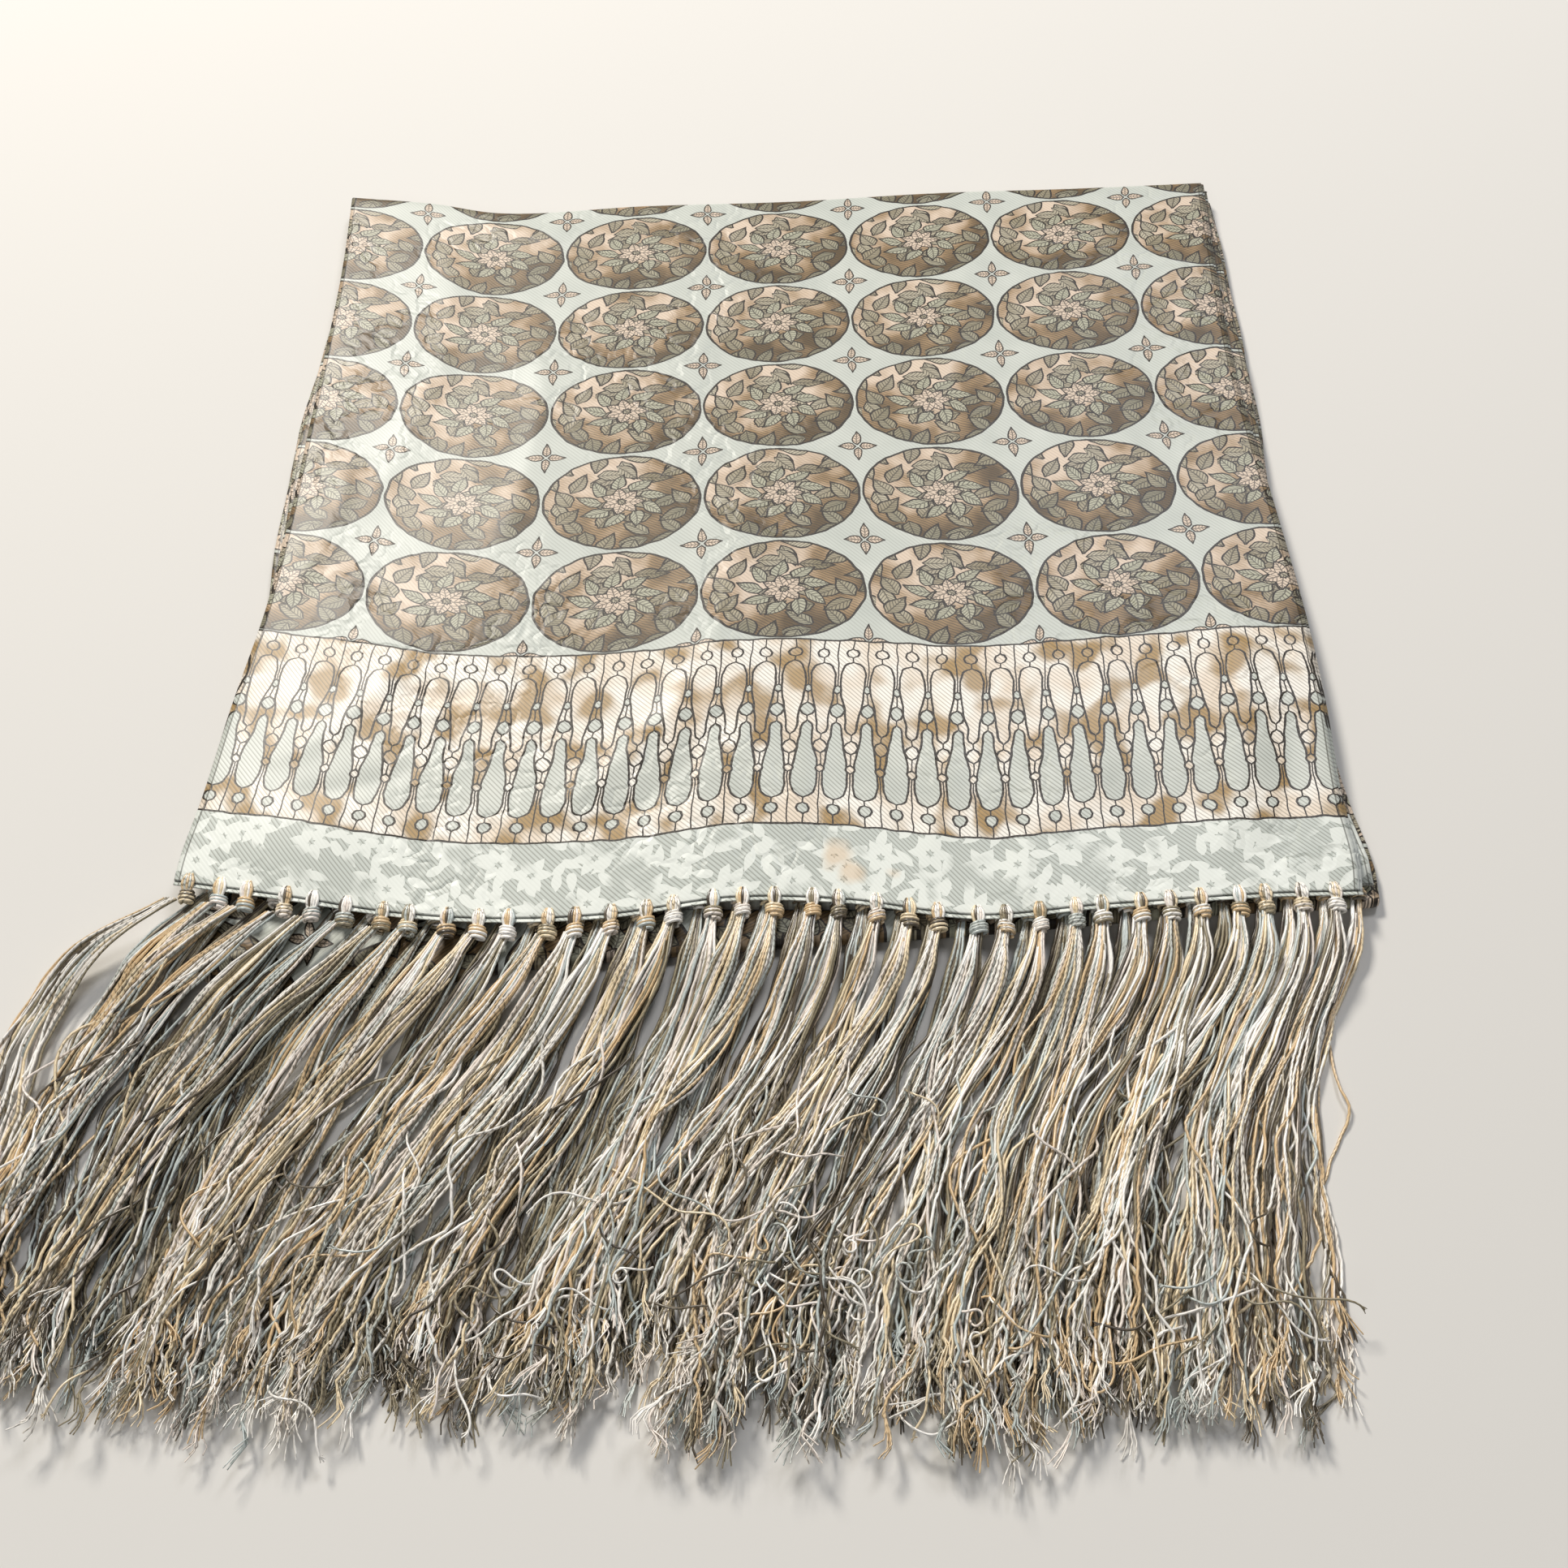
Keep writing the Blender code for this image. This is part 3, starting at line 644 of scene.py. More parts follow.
def cloth_grid(name, points, cloth_map, columns, rows):
    """A sheet of silk from a grid of points, row by row, with its map and its thickness."""
    faces = []
    for r in range(rows - 1):
        for c in range(columns - 1):
            i = r * columns + c
            faces.append((i, i + 1, i + columns + 1, i + columns))
    sheet = mesh_object(name, points, faces, printed_silk)
    lay_map(sheet, cloth_map)
    wall = sheet.modifiers.new("ply thickness", "SOLIDIFY")
    wall.thickness = PLY_THICKNESS * MM
    wall.offset = 0.0
    evaluated = sheet.evaluated_get(bpy.context.evaluated_depsgraph_get())
    mesh = bpy.data.meshes.new_from_object(evaluated)
    mesh.name = name
    sheet.modifiers.clear()
    sheet.data = mesh
    return sheet


def top_ply(name, height, hem_offset, right_peek, hem_roll):
    """A ply of the top panel: flat from hem to fold, then round the fold down to the table."""
    spots, cloth_map = [], []
    columns, rows = FACE_COLUMNS, FACE_ROWS
    radius = height - FOLD_HEIGHT
    shares = [c / columns for c in range(columns + 1)]
    nominals = [side_at("left", 0) * (1 - s) + (side_at("right", 0) + right_peek) * s for s in shares]
    hems = [line_at(HEM_LINE, n) + hem_offset for n in nominals]
    turns = [line_at(FOLD_LINE, n) - FOLD_HEIGHT for n in nominals]
    for row in range(rows + FOLD_STEPS + 1):
        flat_share = min(row / rows, 1.0) ** ROW_CROWDING
        step = max(row - rows, 0) / FOLD_STEPS
        angle = math.radians(90 + (FOLD_END_DEGREES - 90) * step)
        ahead = radius * math.cos(angle) if step else 0.0
        for share, hem, turn in zip(shares, hems, turns):
            along = hem + (turn - hem) * flat_share
            left, right = side_at("left", along), side_at("right", along) + right_peek
            across = left * (1 - share) + right * share
            from_side = min(across - left, right - across)
            level = FOLD_HEIGHT + radius * math.sin(angle)
            spots.append((across, along, from_side, along - hem, ahead, level, step == 0))
            from_end = hem_offset * (1 - flat_share) + PANEL_LENGTH * flat_share
            from_end += radius * (math.pi / 2 - angle)
            cloth_map.append(((share - 0.5) * SCARF_WIDTH, from_end))
    across, along, from_side, from_hem, ahead, level, flat = np.array(spots).T
    fade = smoothstep((PANEL_LENGTH - 6 - along) / 12)
    rise = lift(across, along) + creasing(across, along) * fade
    rise -= EDGE_DROP * (1 - smoothstep(np.minimum(from_side, from_hem) / EDGE_WIDTH))
    rise += hem_roll * (1 - smoothstep(from_hem / EDGE_WIDTH))
    points = np.stack(in_frame(across, along + ahead, level + rise * flat), axis=1)
    return cloth_grid(name, points, cloth_map, columns + 1, rows + FOLD_STEPS + 1)


face_ply = top_ply("face_ply", FACE_HEIGHT, 0.0, 0.0, 0.0)
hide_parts("front_ply")
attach(face_ply, "root")


# The second ply: the other half of the tube's top panel. It shows as a rolled edge in front of the hem
# and past the right side, where the tube doesn't lie quite flat.
SECOND_HEIGHT = 6.88
SECOND_HEM_PEEK = 1.3
SECOND_RIGHT_PEEK = 0.8
SECOND_HEM_ROLL = 0.5
second_ply = top_ply("second_ply", SECOND_HEIGHT, -SECOND_HEM_PEEK, SECOND_RIGHT_PEEK, SECOND_HEM_ROLL)
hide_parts("back_ply")
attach(second_ply, "root")


# The lower panels: the rest of the tube, one long flattened band of double silk. From the outer fold it
# runs forward on the table, turns up at the front fold, runs back over itself, turns again inside the outer
# fold and comes forward to the scarf's other hem, which lies under the first one.
BAND_THICKNESS = 1.25
NOSE_LINE = (
    Point(-152, -14.0), Point(-138, -21.0), Point(-112, -27.0), Point(-80, -18.0),
    Point(-20, -11.0), Point(45, -6.0), Point(110, 0.0), Point(158, 2.5),
)
LOWER_HEM_BACK = 2.6
Run = namedtuple("Run", "height side_inset")
BOTTOM_RUN = Run(0.68, 0.3)
MIDDLE_RUN = Run(2.9, 1.0)
END_RUN = Run(5.0, 2.6)
RUN_STEPS = 34
TURN_STEPS = 8
BAND_COLUMNS = 60
BACK_INSET = 5.2
EDGE_SQUARENESS = 80
TABLE_CLEARANCE = 0.03


def band_path(nominal):
    """The band's middle line at one place across: along, height, side inset, cloth from the nearer end."""
    front_radius = (MIDDLE_RUN.height - BOTTOM_RUN.height) / 2
    back_radius = (END_RUN.height - MIDDLE_RUN.height) / 2
    front = line_at(NOSE_LINE, nominal) + front_radius
    back = line_at(FOLD_LINE, nominal) - BACK_INSET
    hem = line_at(HEM_LINE, nominal) + LOWER_HEM_BACK
    path = []

    def go(start, end, run, panels, more, last=0):
        for i in range(RUN_STEPS + last):
            t = i / RUN_STEPS
            path.append((start + (end - start) * t, *run, PANEL_LENGTH * (panels + more * t)))

    def turn(place, reach, run, onto, panels):
        for i in range(TURN_STEPS):
            t = i / TURN_STEPS
            height = run.height + abs(reach) * (1 - math.cos(math.pi * t))
            inset = run.side_inset + (onto.side_inset - run.side_inset) * t
            path.append((place + reach * math.sin(math.pi * t), height, inset, PANEL_LENGTH * panels))

    go(back, front, BOTTOM_RUN, 1, 1)
    turn(front, -front_radius, BOTTOM_RUN, MIDDLE_RUN, 2)
    go(front, back, MIDDLE_RUN, 2, -1)
    turn(back, back_radius, MIDDLE_RUN, END_RUN, 1)
    go(back, hem, END_RUN, 1, -1, last=1)
    return path


def lower_band():
    """Lofts the flattened tube along its path: upper skin, a round edge, lower skin, a round edge."""
    shares = [(1 - math.cos(math.pi * c / BAND_COLUMNS)) / 2 for c in range(BAND_COLUMNS + 1)]
    left, right = side_at("under_left", 0), side_at("under_right", 0)
    paths = [band_path(left * (1 - s) + right * s) for s in shares]
    half = BAND_THICKNESS / 2
    stations = len(paths[0])
    points, cloth_map = [], []
    for i in range(stations):
        upper, lower = [], []
        for share, path in zip(shares, paths):
            along, height, inset, flat = path[i]
            before, after = path[max(i - 1, 0)], path[min(i + 1, stations - 1)]
            run = Vector((0, after[0] - before[0], after[1] - before[1])).normalized()
            normal = Vector((0, run.z, -run.y))
            uneven = 0.5 * math.sin(along / 17 + inset * 3) + 0.3 * math.sin(along / 7.3 + inset)
            low = side_at("under_left", along) + inset + uneven
            high = side_at("under_right", along) - inset - uneven
            across = low + (high - low) * share
            thick = half * math.sqrt(max(1 - abs(2 * share - 1) ** EDGE_SQUARENESS, 0.0))
            middle = Vector((across, along, height))
            upper.append(middle + normal * thick)
            lower.append(middle - normal * thick)
            cloth_map.append(((share - 0.5) * SCARF_WIDTH, flat))
        flats = cloth_map[-len(shares):]
        cloth_map += flats[-2:0:-1]
        points += upper + lower[-2:0:-1]
    count = len(points) // stations
    faces = []
    for i in range(stations - 1):
        for j in range(count):
            k = (j + 1) % count
            faces.append((i * count + j, (i + 1) * count + j, (i + 1) * count + k, i * count + k))
    faces.append(tuple(range(count)))
    faces.append(tuple((stations - 1) * count + j for j in range(count))[::-1])
    points = [in_frame(p.x, p.y, max(p.z, TABLE_CLEARANCE)) for p in points]
    band = mesh_object("lower_panels", points, faces, printed_silk)
    lay_map(band, cloth_map)
    return band


lower_panels = lower_band()
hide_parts("folded_panels")
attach(lower_panels, "root")


# The yarn of the fringe: silky plied thread 0.8 mm thick in cream, tan, grey-green, off-white and brown.
# Painted shade darkens the grooves between its plies, and with its low gloss gives it a beaded glint.
YARN_RADIUS = 0.38
PLY_TWIST = 1.7
PAINTED_PLY_SHADE = "463B2A"
YARN_FADED = "CDBFA2"
Dye = namedtuple("Dye", "start colour")
# The three darkest dyes are also all that most of the lower fringe takes: painted shade under the upper
# fringe
DYES = (
    Dye(0.0, "FFFBF3"), Dye(0.27, "F6EBE0"), Dye(0.4, "F2DEB9"), Dye(0.54, "DFC093"),
    Dye(0.66, "C2CAC6"), Dye(0.77, "958A70"), Dye(0.89, "4A4034"),
)


def silky_yarn():
    """Plied silk yarn: tone picks its dye; run and around place painted shade in the grooves of its plies.
    """
    yarn, tree, shader = new_finish("plied_silk_yarn", Roughness=0.3, Specular_IOR_Level=0.8)
    marks = [add(tree, "Attribute", attribute_name=mark) for mark in ("tone", "run", "around")]
    tone, run, around = [mark.node.outputs["Fac"] for mark in marks]
    dyed = add(tree, "ValToRGB", [tone])
    ramp = dyed.node.color_ramp
    ramp.interpolation = "CONSTANT"
    for dye in DYES[2:]:
        ramp.elements.new(dye.start)
    for stop, dye in zip(ramp.elements, DYES):
        stop.position = dye.start
        stop.color = linear(dye.colour)
    spot = add(tree, "TexCoord").node.outputs["Object"]
    drift = add(tree, "TexNoise", {"Vector": spot, "Scale": 110.0, "Detail": 2.0})
    faded = add(tree, "MapRange", [drift, 0.4, 0.7, 0.0, 0.3])
    start = add(tree, "Math MULTIPLY_ADD", [tone, 57.0, around])
    loosest, tightest = 0.7 / (PLY_TWIST * MM), 1.3 / (PLY_TWIST * MM)
    pace = add(tree, "MapRange", [tone, 0.0, 1.0, loosest, tightest])
    turns = add(tree, "Math MULTIPLY_ADD", [run, pace, start])
    # Painted shade in the grooves between the plies, stronger in some places than in others
    groove = add(tree, "Math PINGPONG", [turns, 0.5])
    deep = add(tree, "MapRange", [groove, 0.02, 0.22, 0.75, 0.0])
    tight = add(tree, "MapRange", [drift, 0.42, 0.58, 0.25, 1.0])
    painted_groove_shade = add(tree, "Math MULTIPLY", [deep, tight])
    plied = paint_over(tree, dyed, [(faded, linear(YARN_FADED)), (painted_groove_shade, linear(PAINTED_PLY_SHADE))])
    tree.links.new(plied, shader.inputs["Base Color"])
    return yarn


plied_yarn = silky_yarn()


def end_tree(group, geometry, finish):
    """Ends a tree in real geometry that has its material."""
    real = add(group, "GeometryNodeRealizeInstances", [geometry])
    finished = add(group, "GeometryNodeSetMaterial", {"Geometry": real, "Material": finish})
    add(group, "NodeGroupOutput", [finished])
    return group


def yarn_group():
    """Turns curves into yarn as thick as the curve's radius, and marks it for its material."""
    takes = {"Curves": "NodeSocketGeometry", "Sides": "NodeSocketInt", "Yarn": "NodeSocketMaterial"}
    group, given = new_group("plied yarn", "GeometryNodeTree", takes, {"Yarn": "NodeSocketGeometry"})
    length = add(group, "GeometryNodeSplineParameter").node.outputs["Length"]
    wired = {"Geometry": given["Curves"], "Name": "run", "Value": length}
    curves = add(group, "GeometryNodeStoreNamedAttribute", wired, data_type="FLOAT", domain="POINT")
    ring = add(group, "GeometryNodeCurvePrimitiveCircle", {"Resolution": given["Sides"], "Radius": 1.0})
    turn = add(group, "GeometryNodeSplineParameter").node.outputs["Factor"]
    wired = {"Geometry": ring, "Name": "around", "Value": turn}
    marked = add(group, "GeometryNodeStoreNamedAttribute", wired, data_type="FLOAT", domain="POINT")
    radius = add(group, "GeometryNodeInputRadius")
    wired = {"Curve": curves, "Profile Curve": marked, "Scale": radius, "Fill Caps": True}
    return end_tree(group, add(group, "GeometryNodeCurveToMesh", wired), given["Yarn"])


yarn_tubes = yarn_group()


def spun(guides, tree, values):
    """Runs a tree on an object of guide curves, and gives the plain mesh of its yarn."""
    modifier = guides.modifiers.new("yarn", "NODES")
    modifier.node_group = tree
    for item in tree.interface.items_tree:
        if item.in_out == "INPUT" and item.name in values:
            modifier[item.identifier] = values[item.name]
    evaluated = guides.evaluated_get(bpy.context.evaluated_depsgraph_get())
    mesh = bpy.data.meshes.new_from_object(evaluated)
    name = guides.name
    bpy.data.objects.remove(guides)
    mesh.name = name
    mesh.shade_smooth()
    made = bpy.data.objects.new(name, mesh)
    bpy.context.scene.collection.objects.link(made)
    return made


# The tassels' knots: each bundle of yarn is drawn through the hem as a loop, which shows on the face, and
# tied round itself with three turns just below the edge.
TASSELS = 36
TASSEL_PITCH = (SCARF_WIDTH - 10.0) / (TASSELS - 1)
KNOT_LENGTH = 4.2
KNOT_TURNS = 2.8
KNOT_HALF_WIDTH = 1.8
KNOT_HALF_HEIGHT = 1.3
KNOT_STRANDS = 2
KNOT_STRAND_PITCH = 0.72
KNOT_STEPS = 36
KNOT_YARN_RADIUS = 0.44
LOOP_STRANDS = 5
LOOP_POINTS = 12
LOOP_YARN_RADIUS = 0.4
LOOP_HALF_WIDTH = 1.2
LOOP_REACH = 2.7
Level = namedtuple("Level", "start_height floor_height hem_offset shift drift locks")
UPPER = Level(6.6, 3.3, -SECOND_HEM_PEEK - 0.3, -6.0, 1.0, 3)
LOWER = Level(4.9, 1.0, LOWER_HEM_BACK - 0.3, 0.5, 0.7, 2)


def tassel_place(level, index):
    unevenly = 0.9 * math.sin(2.4 * index + level.shift)
    return (index - (TASSELS - 1) / 2) * TASSEL_PITCH + level.shift + unevenly


def new_guides(name):
    """An object for the lines that yarn follows."""
    curve = bpy.data.curves.new(name, "CURVE")
    curve.dimensions = "3D"
    made = bpy.data.objects.new(name, curve)
    bpy.context.scene.collection.objects.link(made)
    return made


def add_line(guides, points, radii):
    """Adds a poly line through points of the plan, in millimetres, with the yarn's or lock's radii."""
    spline = guides.data.splines.new("POLY")
    spline.points.add(len(points) - 1)
    for spot, place, radius in zip(spline.points, points, radii):
        spot.co = (*in_frame(*place), 1.0)
        spot.radius = radius * MM


def knot_guides(name, level, seed):
    """The lines of each knot's turns, and of the loop over the hem for the upper row."""
    chance = np.random.default_rng(seed)
    guides = new_guides(name)
    for index in range(TASSELS):
        x = tassel_place(level, index)
        hem = line_at(HEM_LINE, x) + level.hem_offset
        rise = lift(x, hem) * (level is UPPER)
        size, tilt, start = [chance.uniform(*span) for span in ((0.9, 1.12), (-0.25, 0.25), (0, 6.3))]
        for strand in range(KNOT_STRANDS):
            beside = (strand - (KNOT_STRANDS - 1) / 2) * KNOT_STRAND_PITCH
            points = []
            for i in range(KNOT_STEPS + 1):
                t = i / KNOT_STEPS
                turn = start + KNOT_TURNS * 2 * math.pi * t
                bulge = size * (0.78 + 0.3 * math.sin(math.pi * t))
                across = x + math.cos(turn) * KNOT_HALF_WIDTH * bulge
                along = hem - 0.8 - (KNOT_LENGTH - 1.4) * t + tilt * math.cos(turn) * 2 + beside
                height = level.start_height + rise + math.sin(turn) * KNOT_HALF_HEIGHT * bulge
                points.append((across, along, height))
            add_line(guides, points, [KNOT_YARN_RADIUS] * len(points))
        if level is not UPPER:
            continue
        edge = line_at(HEM_LINE, x)
        for strand in range(LOOP_STRANDS):
            side = 2 * strand / (LOOP_STRANDS - 1) - 1
            points = []
            for i in range(LOOP_POINTS):
                t = i / (LOOP_POINTS - 1)
                along = hem - 1.2 + (edge + LOOP_REACH - hem + 1.2) * t
                top = FACE_HEIGHT + lift(x, along) + creasing(x, along) + 0.3
                climb = float(smoothstep(t / 0.42))
                # The loop lies on the hem, stands up in its middle and dips into the silk at its end
                sunk = float(smoothstep((t - 0.86) / 0.14))
                height = (level.start_height + rise + 0.6) * (1 - climb) + top * climb
                height += 0.35 * math.sin(math.pi * t) * (1 - abs(side) * 0.5) - sunk
                spread = side * LOOP_HALF_WIDTH * (0.5 + 0.6 * math.sin(math.pi * min(t * 1.15, 1.0)))
                points.append((x + spread + tilt * along * 0.1, along, height))
            add_line(guides, points, [LOOP_YARN_RADIUS] * LOOP_POINTS)
    return guides


def with_trait(group, splines, label, seed, lowest=0.0, highest=1.0):
    """Stores a random number on each spline, under a label."""
    wired = {"Min": lowest, "Max": highest, "ID": add(group, "GeometryNodeInputIndex"), "Seed": seed}
    pick = add(group, "FunctionNodeRandomValue", wired)
    wired = {"Geometry": splines, "Name": label, "Value": pick}
    return add(group, "GeometryNodeStoreNamedAttribute", wired, data_type="FLOAT", domain="CURVE")


def knot_tree():
    """Dyes each strand of the knots and gives it its tube."""
    takes = {"Strands": "NodeSocketGeometry", "Seed": "NodeSocketInt", "Yarn": "NodeSocketMaterial"}
    group, given = new_group("tied knots", "GeometryNodeTree", takes, {"Knots": "NodeSocketGeometry"})
    dyed = with_trait(group, given["Strands"], "tone", given["Seed"])
    wired = {"Curves": dyed, "Sides": 6, "Yarn": given["Yarn"]}
    tubes = add(group, "GeometryNodeGroup", wired, node_tree=yarn_tubes)
    return end_tree(group, tubes, given["Yarn"])


tied_knots = knot_tree()
upper_knots = spun(knot_guides("upper_knots", UPPER, 3), tied_knots, {"Seed": 5, "Yarn": plied_yarn})
lower_knots = spun(knot_guides("lower_knots", LOWER, 4), tied_knots, {"Seed": 6, "Yarn": plied_yarn})
for knots, node in ((upper_knots, "upper_fringe"), (lower_knots, "lower_fringe")):
    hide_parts(node)
    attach(knots, "root")


# The fringe: twenty-four threads hang from each upper knot in three loose locks, and sixteen from each
# lower one in two. They lie over the lower panels, come down to the table past the front fold and sweep to
# the left, as they were laid down. Each thread unravels at its tip.
FRINGE_REACH = 121.0
FRINGE_SLANT = 0.055
DRIFT_STATIONS = (0.0, 15.0, 35.0, 60.0, 90.0, 127.0)
Drift = namedtuple("Drift", "across offsets")
DRIFTS = (
    Drift(-150, (0, -18, -28, -30, -30, -32)),
    Drift(-118, (0, -13, -27, -36, -44, -49)),
    Drift(-54, (0, -6, -18, -34, -48, -56)),
    Drift(0, (0, -3, -10, -22, -34, -42)),
    Drift(48, (0, -4, -14, -28, -40, -48)),
    Drift(84, (0, -3, -13, -27, -39, -45)),
    Drift(118, (0, -2, -11, -23, -31, -35)),
    Drift(150, (0, -3, -11, -17, -20, -24)),
)
FALL_LENGTH = 26.0
GUIDE_POINTS = 52
THREADS_PER_LOCK = 8
CUT_SHARE = 0.055
TUFT_SHARE = 0.065
TUFT_FIBRES = 5
TUFT_POINTS = 5


def flow(place, distance, drift):
    """Where a lock that starts at a place along the hem has got to, at a distance in front of it."""
    offsets = [curve_through(DRIFT_STATIONS, d.offsets, distance) for d in DRIFTS]
    return place + curve_through([d.across for d in DRIFTS], offsets, place) * drift


def lock_guides(name, level, tassels, seed):
    """One line for each lock of the given tassels. Its radius is the lock's half width."""
    chance = np.random.default_rng(seed)
    guides = new_guides(name)
    for index in tassels:
        x = tassel_place(level, index)
        hem = line_at(HEM_LINE, x) + level.hem_offset
        sway = chance.normal(0, 1, 4)
        # Towards the right side both levels sweep alike
        drift = level.drift + (1.15 - level.drift) * float(smoothstep((x - 95) / 30))
        for lock in range(level.locks):
            own = chance.normal(0, 1, 6)
            uneven = 2.5 * math.sin(x * 1.7)
            reach = FRINGE_REACH + FRINGE_SLANT * x + uneven + chance.uniform(-5, 3)
            side = lock - (level.locks - 1) / 2
            points, radii = [], []
            for i in range(GUIDE_POINTS):
                t = i / (GUIDE_POINTS - 1)
                distance = KNOT_LENGTH - 1.5 + (reach - KNOT_LENGTH + 1.5) * t
                open_up = float(smoothstep((distance - 4) / 14))
                loose = float(smoothstep((distance - 14) / 62))
                apart = 0.7 + 1.3 * open_up + 1.1 * float(smoothstep((distance - 45) / 60))
                gather = 3.2 * math.sin(x / 3.6 + 1.4 * math.sin(x / 23))
                gather *= float(smoothstep((distance - 18) / 40))
                stray = sway[0] * 3.2 * math.sin(distance / 30 + sway[1] * 3)
                stray += own[0] * 3.2 * math.sin(distance / 24 + own[1] * 3)
                stray += own[2] * math.sin(distance / 9 + own[3])
                # The last tassels on the right lie closer together
                kept_in = 1 - 0.7 * float(smoothstep((x - 112) / 26))
                swept = drift * (1 + (0.12 * sway[2] + 0.05 * own[2]) * kept_in)
                across = flow(x + side * apart, distance, swept)
                across += (gather * (1 - 0.5 * t) + stray * loose) * kept_in
                along = hem - distance
                start = min(line_at(NOSE_LINE, across) - 1.5, hem - 7.0)
                fallen = float(smoothstep((start - along) / FALL_LENGTH))
                rise = lift(across, hem) * (level is UPPER)
                height = (level.start_height + rise) * (1 - fallen) + level.floor_height * fallen
                # A middle lock lies on top of its neighbours
                height += (own[4] * 0.7 + (side == 0)) * loose
                points.append((across, along, height))
                narrow = 1 + 0.35 * math.sin(distance / 11 + own[5] * 2) * loose
                radii.append((0.8 + 0.7 * open_up + 0.5 * loose + 0.6 * t**3) * narrow)
            add_line(guides, points, radii)
    return guides


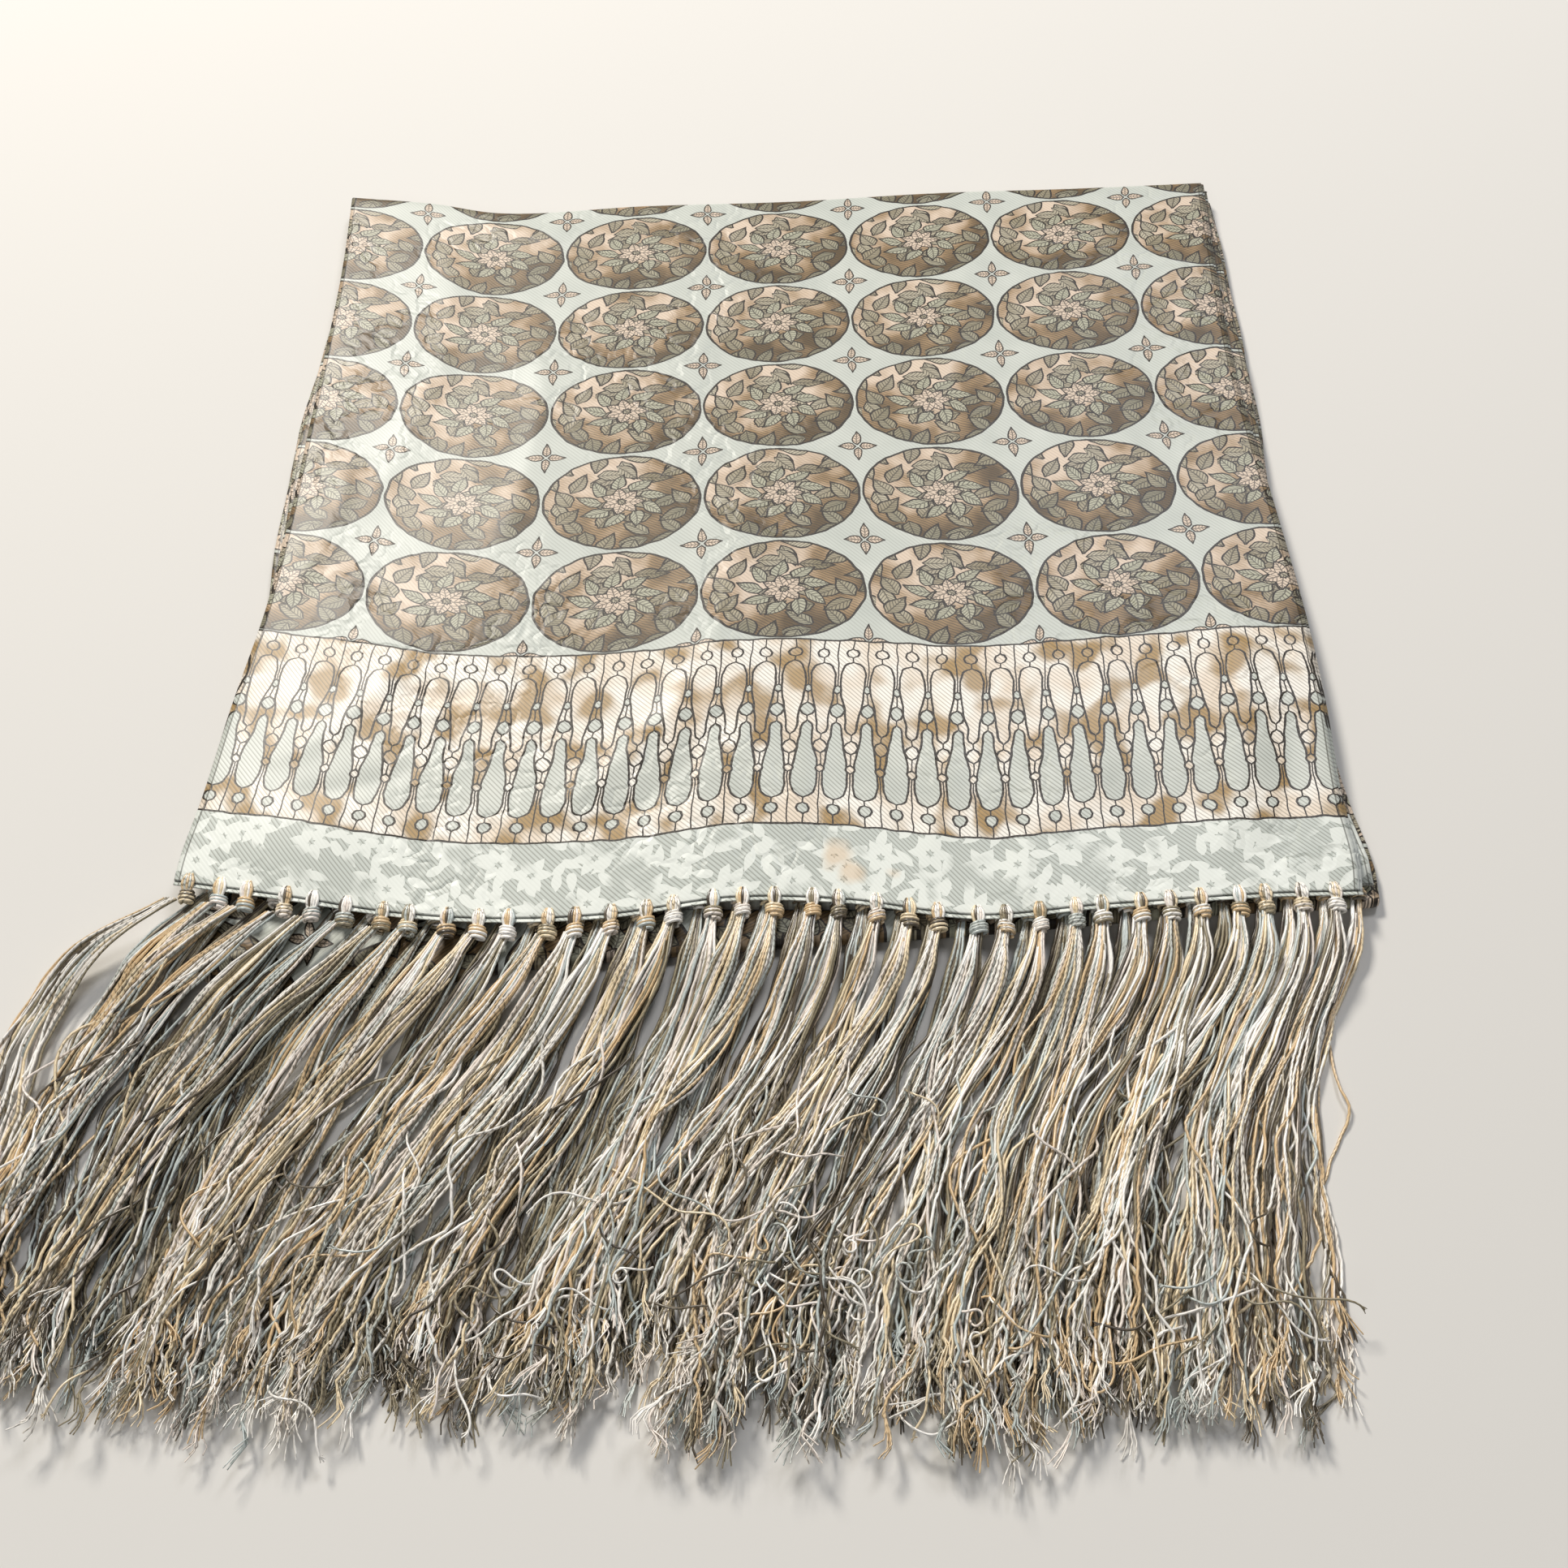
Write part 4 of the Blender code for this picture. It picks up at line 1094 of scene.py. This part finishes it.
def thread_tree():
    """Draws each lock out into loose threads with unravelled tips."""
    takes = {
        "Guides": "NodeSocketGeometry", "Threads": "NodeSocketInt",
        **floats("Thread radius", "Wander", "Crimp", "Shortest", "Flatness", "Tuft", "Palest tone in shade"),
        "Yarn": "NodeSocketMaterial", "Seed": "NodeSocketInt",
    }
    group, given = new_group("loose threads", "GeometryNodeTree", takes, {"Fringe": "NodeSocketGeometry"})
    wired = {"Geometry": given["Guides"], "Amount": given["Threads"]}
    threads = add(group, "GeometryNodeDuplicateElements", wired, domain="SPLINE")
    own = {}
    for number, label in enumerate(("tone", "ring", "phase", "twist", "trace", "cut", "wild")):
        seed = add(group, "Math ADD", [given["Seed"], float(number)])
        # A higher lowest tone keeps threads to the darker dyes: painted shade, used for the lower fringe
        lowest = given["Palest tone in shade"] if label == "tone" else 0.0
        threads = with_trait(group, threads, label, seed, lowest)
        own[label] = add(group, "GeometryNodeInputNamedAttribute", {"Name": label}, data_type="FLOAT")
    place = add(group, "GeometryNodeSplineParameter").node.outputs
    share, run = place["Factor"], place["Length"]

    # Each thread has its place in the lock's cross-section, and turns slowly round the others
    half_width = add(group, "GeometryNodeInputRadius")
    out = add(group, "Math POWER", [own["ring"], 0.5])
    out = add(group, "Math MULTIPLY", [out, half_width])
    pace = add(group, "MapRange", [own["twist"], 0.0, 1.0, -45.0, 45.0])
    first = add(group, "Math MULTIPLY", [own["phase"], 2 * math.pi])
    turn = add(group, "Math MULTIPLY_ADD", [run, pace, first])
    sideways = add(group, "Math MULTIPLY", [add(group, "Math COSINE", [turn]), out])
    upward = add(group, "Math MULTIPLY", [add(group, "Math SINE", [turn]), out])
    upward = add(group, "Math MULTIPLY", [upward, given["Flatness"]])
    offset = add(group, "CombineXYZ", {"X": sideways, "Z": upward})
    threads = add(group, "GeometryNodeSetPosition", {"Geometry": threads, "Offset": offset})

    # It wanders from there, a few much more than the rest, and it is crimped, most of all at its tip
    trace = add(group, "Math MULTIPLY", [own["trace"], 331.0])
    wild = add(group, "Math POWER", [own["wild"], 6.0])
    wild = add(group, "Math MULTIPLY_ADD", [wild, 4.0, 0.5])
    wandering = add(group, "MapRange", [share, 0.03, 0.5], interpolation_type="SMOOTHSTEP")
    wandering = add(group, "Math MULTIPLY", [wandering, wild])
    crimped = add(group, "Math POWER", [share, 4.5])
    crimped = add(group, "Math MULTIPLY_ADD", [crimped, 0.9, 0.1])
    for waves, amount, growth in ((40.0, "Wander", wandering), (190.0, "Crimp", crimped)):
        stretched = add(group, "Math MULTIPLY", [run, waves])
        spot = add(group, "CombineXYZ", [stretched, trace])
        wired = {"Vector": spot, "Scale": 1.0, "Detail": 0.0}
        noise = add(group, "TexNoise", wired, noise_dimensions="2D").node.outputs["Color"]
        centred = add(group, "VectorMath ADD", [noise, (-0.5, -0.5, -0.5)])
        shaped = add(group, "VectorMath MULTIPLY", [centred, (2.0, 1.2, 0.6)])
        reach = add(group, "Math MULTIPLY", [growth, given[amount]])
        offset = add(group, "VectorMath SCALE", [shaped, reach])
        threads = add(group, "GeometryNodeSetPosition", {"Geometry": threads, "Offset": offset})

    # The thread, cut to its own length, and the fine fibres that its tip opens into
    spare = add(group, "Math SUBTRACT", [1.0, given["Shortest"]])
    end = add(group, "Math MULTIPLY_ADD", [own["cut"], spare, given["Shortest"]])
    body_end = add(group, "Math SUBTRACT", [end, CUT_SHARE])
    body = add(group, "GeometryNodeTrimCurve", {"Curve": threads, "Start": 0.0, "End": body_end})
    body = add(group, "GeometryNodeSetCurveRadius", {"Curve": body, "Radius": given["Thread radius"]})
    tuft_start = add(group, "Math SUBTRACT", [end, TUFT_SHARE])
    tuft = add(group, "GeometryNodeTrimCurve", {"Curve": threads, "Start": tuft_start, "End": end})
    tuft = add(group, "GeometryNodeResampleCurve", {"Curve": tuft, "Count": TUFT_POINTS})
    wired = {"Geometry": tuft, "Amount": TUFT_FIBRES}
    tuft = add(group, "GeometryNodeDuplicateElements", wired, domain="SPLINE")
    splay = []
    for number, label in enumerate(("splay_x", "splay_y", "splay_z")):
        seed = add(group, "Math ADD", [given["Seed"], 11.0 + number])
        tuft = with_trait(group, tuft, label, seed, -0.5, 0.5)
        splay.append(add(group, "GeometryNodeInputNamedAttribute", {"Name": label}, data_type="FLOAT"))
    opening = add(group, "Math POWER", [share, 1.3])
    opening = add(group, "Math MULTIPLY", [opening, given["Tuft"]])
    offset = add(group, "VectorMath SCALE", [add(group, "CombineXYZ", splay), opening])
    tuft = add(group, "GeometryNodeSetPosition", {"Geometry": tuft, "Offset": offset})
    taper = add(group, "MapRange", [share, 0.0, 1.0, 0.6, 0.42])
    fibre = add(group, "Math MULTIPLY", [taper, given["Thread radius"]])
    tuft = add(group, "GeometryNodeSetCurveRadius", {"Curve": tuft, "Radius": fibre})

    # All together, resting on the table and not in it
    both = add(group, "GeometryNodeJoinGeometry")
    group.links.new(body, both.node.inputs[0])
    group.links.new(tuft, both.node.inputs[0])
    here = add(group, "SeparateXYZ", [add(group, "GeometryNodeInputPosition")]).node.outputs
    radius = add(group, "GeometryNodeInputRadius")
    floor = add(group, "Math MAXIMUM", [here["Z"], radius])
    raised = add(group, "CombineXYZ", [here["X"], here["Y"], floor])
    lying = add(group, "GeometryNodeSetPosition", {"Geometry": both, "Position": raised})
    wired = {"Curves": lying, "Sides": 4, "Yarn": given["Yarn"]}
    tubes = add(group, "GeometryNodeGroup", wired, node_tree=yarn_tubes)
    return end_tree(group, tubes, given["Yarn"])


loose_threads = thread_tree()
FRINGE_VALUES = {
    "Threads": THREADS_PER_LOCK, "Thread radius": YARN_RADIUS * MM, "Wander": 3.6 * MM, "Crimp": 3.4 * MM,
    "Shortest": 0.84, "Flatness": 0.8, "Tuft": 4.4 * MM, "Palest tone in shade": 0.0, "Yarn": plied_yarn,
}
upper_pieces, lower_pieces = [], []
for number in range(4):
    tassels = range(number * 9, number * 9 + 9)
    guides = lock_guides(f"upper_fringe_{number + 1}", UPPER, tassels, 11 + number)
    upper_pieces.append(spun(guides, loose_threads, FRINGE_VALUES | {"Seed": 40 + 20 * number}))
# Painted shade: where the lower fringe lies under the upper one, its threads take only the darker dyes
for number, (first, last, palest_in_shade) in enumerate(((0, 18, 0.69), (18, 33, 0.69), (33, 36, 0.0))):
    guides = lock_guides(f"lower_fringe_{number + 1}", LOWER, range(first, last), 31 + number)
    values = FRINGE_VALUES | {"Flatness": 0.3, "Palest tone in shade": palest_in_shade, "Seed": 200 + 20 * number}
    lower_pieces.append(spun(guides, loose_threads, values))
for pieces, node in ((upper_pieces, "upper_fringe"), (lower_pieces, "lower_fringe")):
    for piece in pieces:
        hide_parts(node)
        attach(piece, "root")


# Stray threads that have come loose from their locks and lie over the rest: single ones in long arcs, and
# small tangles of curls near the tips. They are of finer yarn.
Tangle = namedtuple("Tangle", "across along spread strands length bend")
TANGLES = (
    Tangle(6, -88, 22, 56, 22, 5.0),
    Tangle(22, -50, 8, 4, 20, 6.0),
    Tangle(-110, -70, 24, 6, 30, 3.0),
    Tangle(-60, -100, 40, 14, 20, 3.0),
    Tangle(70, -98, 40, 14, 22, 3.0),
    Tangle(-20, -60, 90, 12, 36, 2.0),
    Tangle(104, -88, 12, 6, 30, 2.5),
    Tangle(40, -106, 40, 12, 18, 4.0),
    Tangle(-130, -98, 30, 8, 20, 3.0),
)
STRAY_HEIGHT = 6.2
STRAY_POINTS = 22
STRAY_RADIUS = 0.2


def stray_guides(name, seed):
    """The lines of the stray threads, each an arc that bends more or less as it goes."""
    chance = np.random.default_rng(seed)
    guides = new_guides(name)
    for tangle in TANGLES:
        for _ in range(tangle.strands):
            across = tangle.across + chance.normal(0, 0.5) * tangle.spread
            along = tangle.along + chance.normal(0, 0.3) * min(tangle.spread, 24)
            heading = math.radians(-112) + chance.normal(0, 0.45)
            bend = chance.normal(0, 1) * tangle.bend / tangle.length
            waver = chance.uniform(0, 6.3)
            step = tangle.length * chance.uniform(0.6, 1.3) / STRAY_POINTS
            points = []
            for i in range(STRAY_POINTS):
                t = i / (STRAY_POINTS - 1)
                height = STRAY_HEIGHT - 3.0 * (2 * t - 1) ** 4 + 0.6 * math.sin(waver + 5 * t)
                points.append((across, along, height))
                heading += (1.5 * bend * math.cos(waver + 4 * t) + 0.12 * math.sin(waver + 9 * t)) * step
                across += math.cos(heading) * step
                along = max(along + math.sin(heading) * step, -128.0)
            add_line(guides, points, [STRAY_RADIUS] * STRAY_POINTS)
    return guides


values = FRINGE_VALUES | {"Threads": 1, "Thread radius": 0.3 * MM, "Seed": 300}
values |= {"Wander": 2.4 * MM, "Crimp": 1.2 * MM, "Tuft": 1.5 * MM}
stray_threads = spun(stray_guides("stray_threads", 8), loose_threads, values)
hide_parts("upper_fringe")
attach(stray_threads, "root")
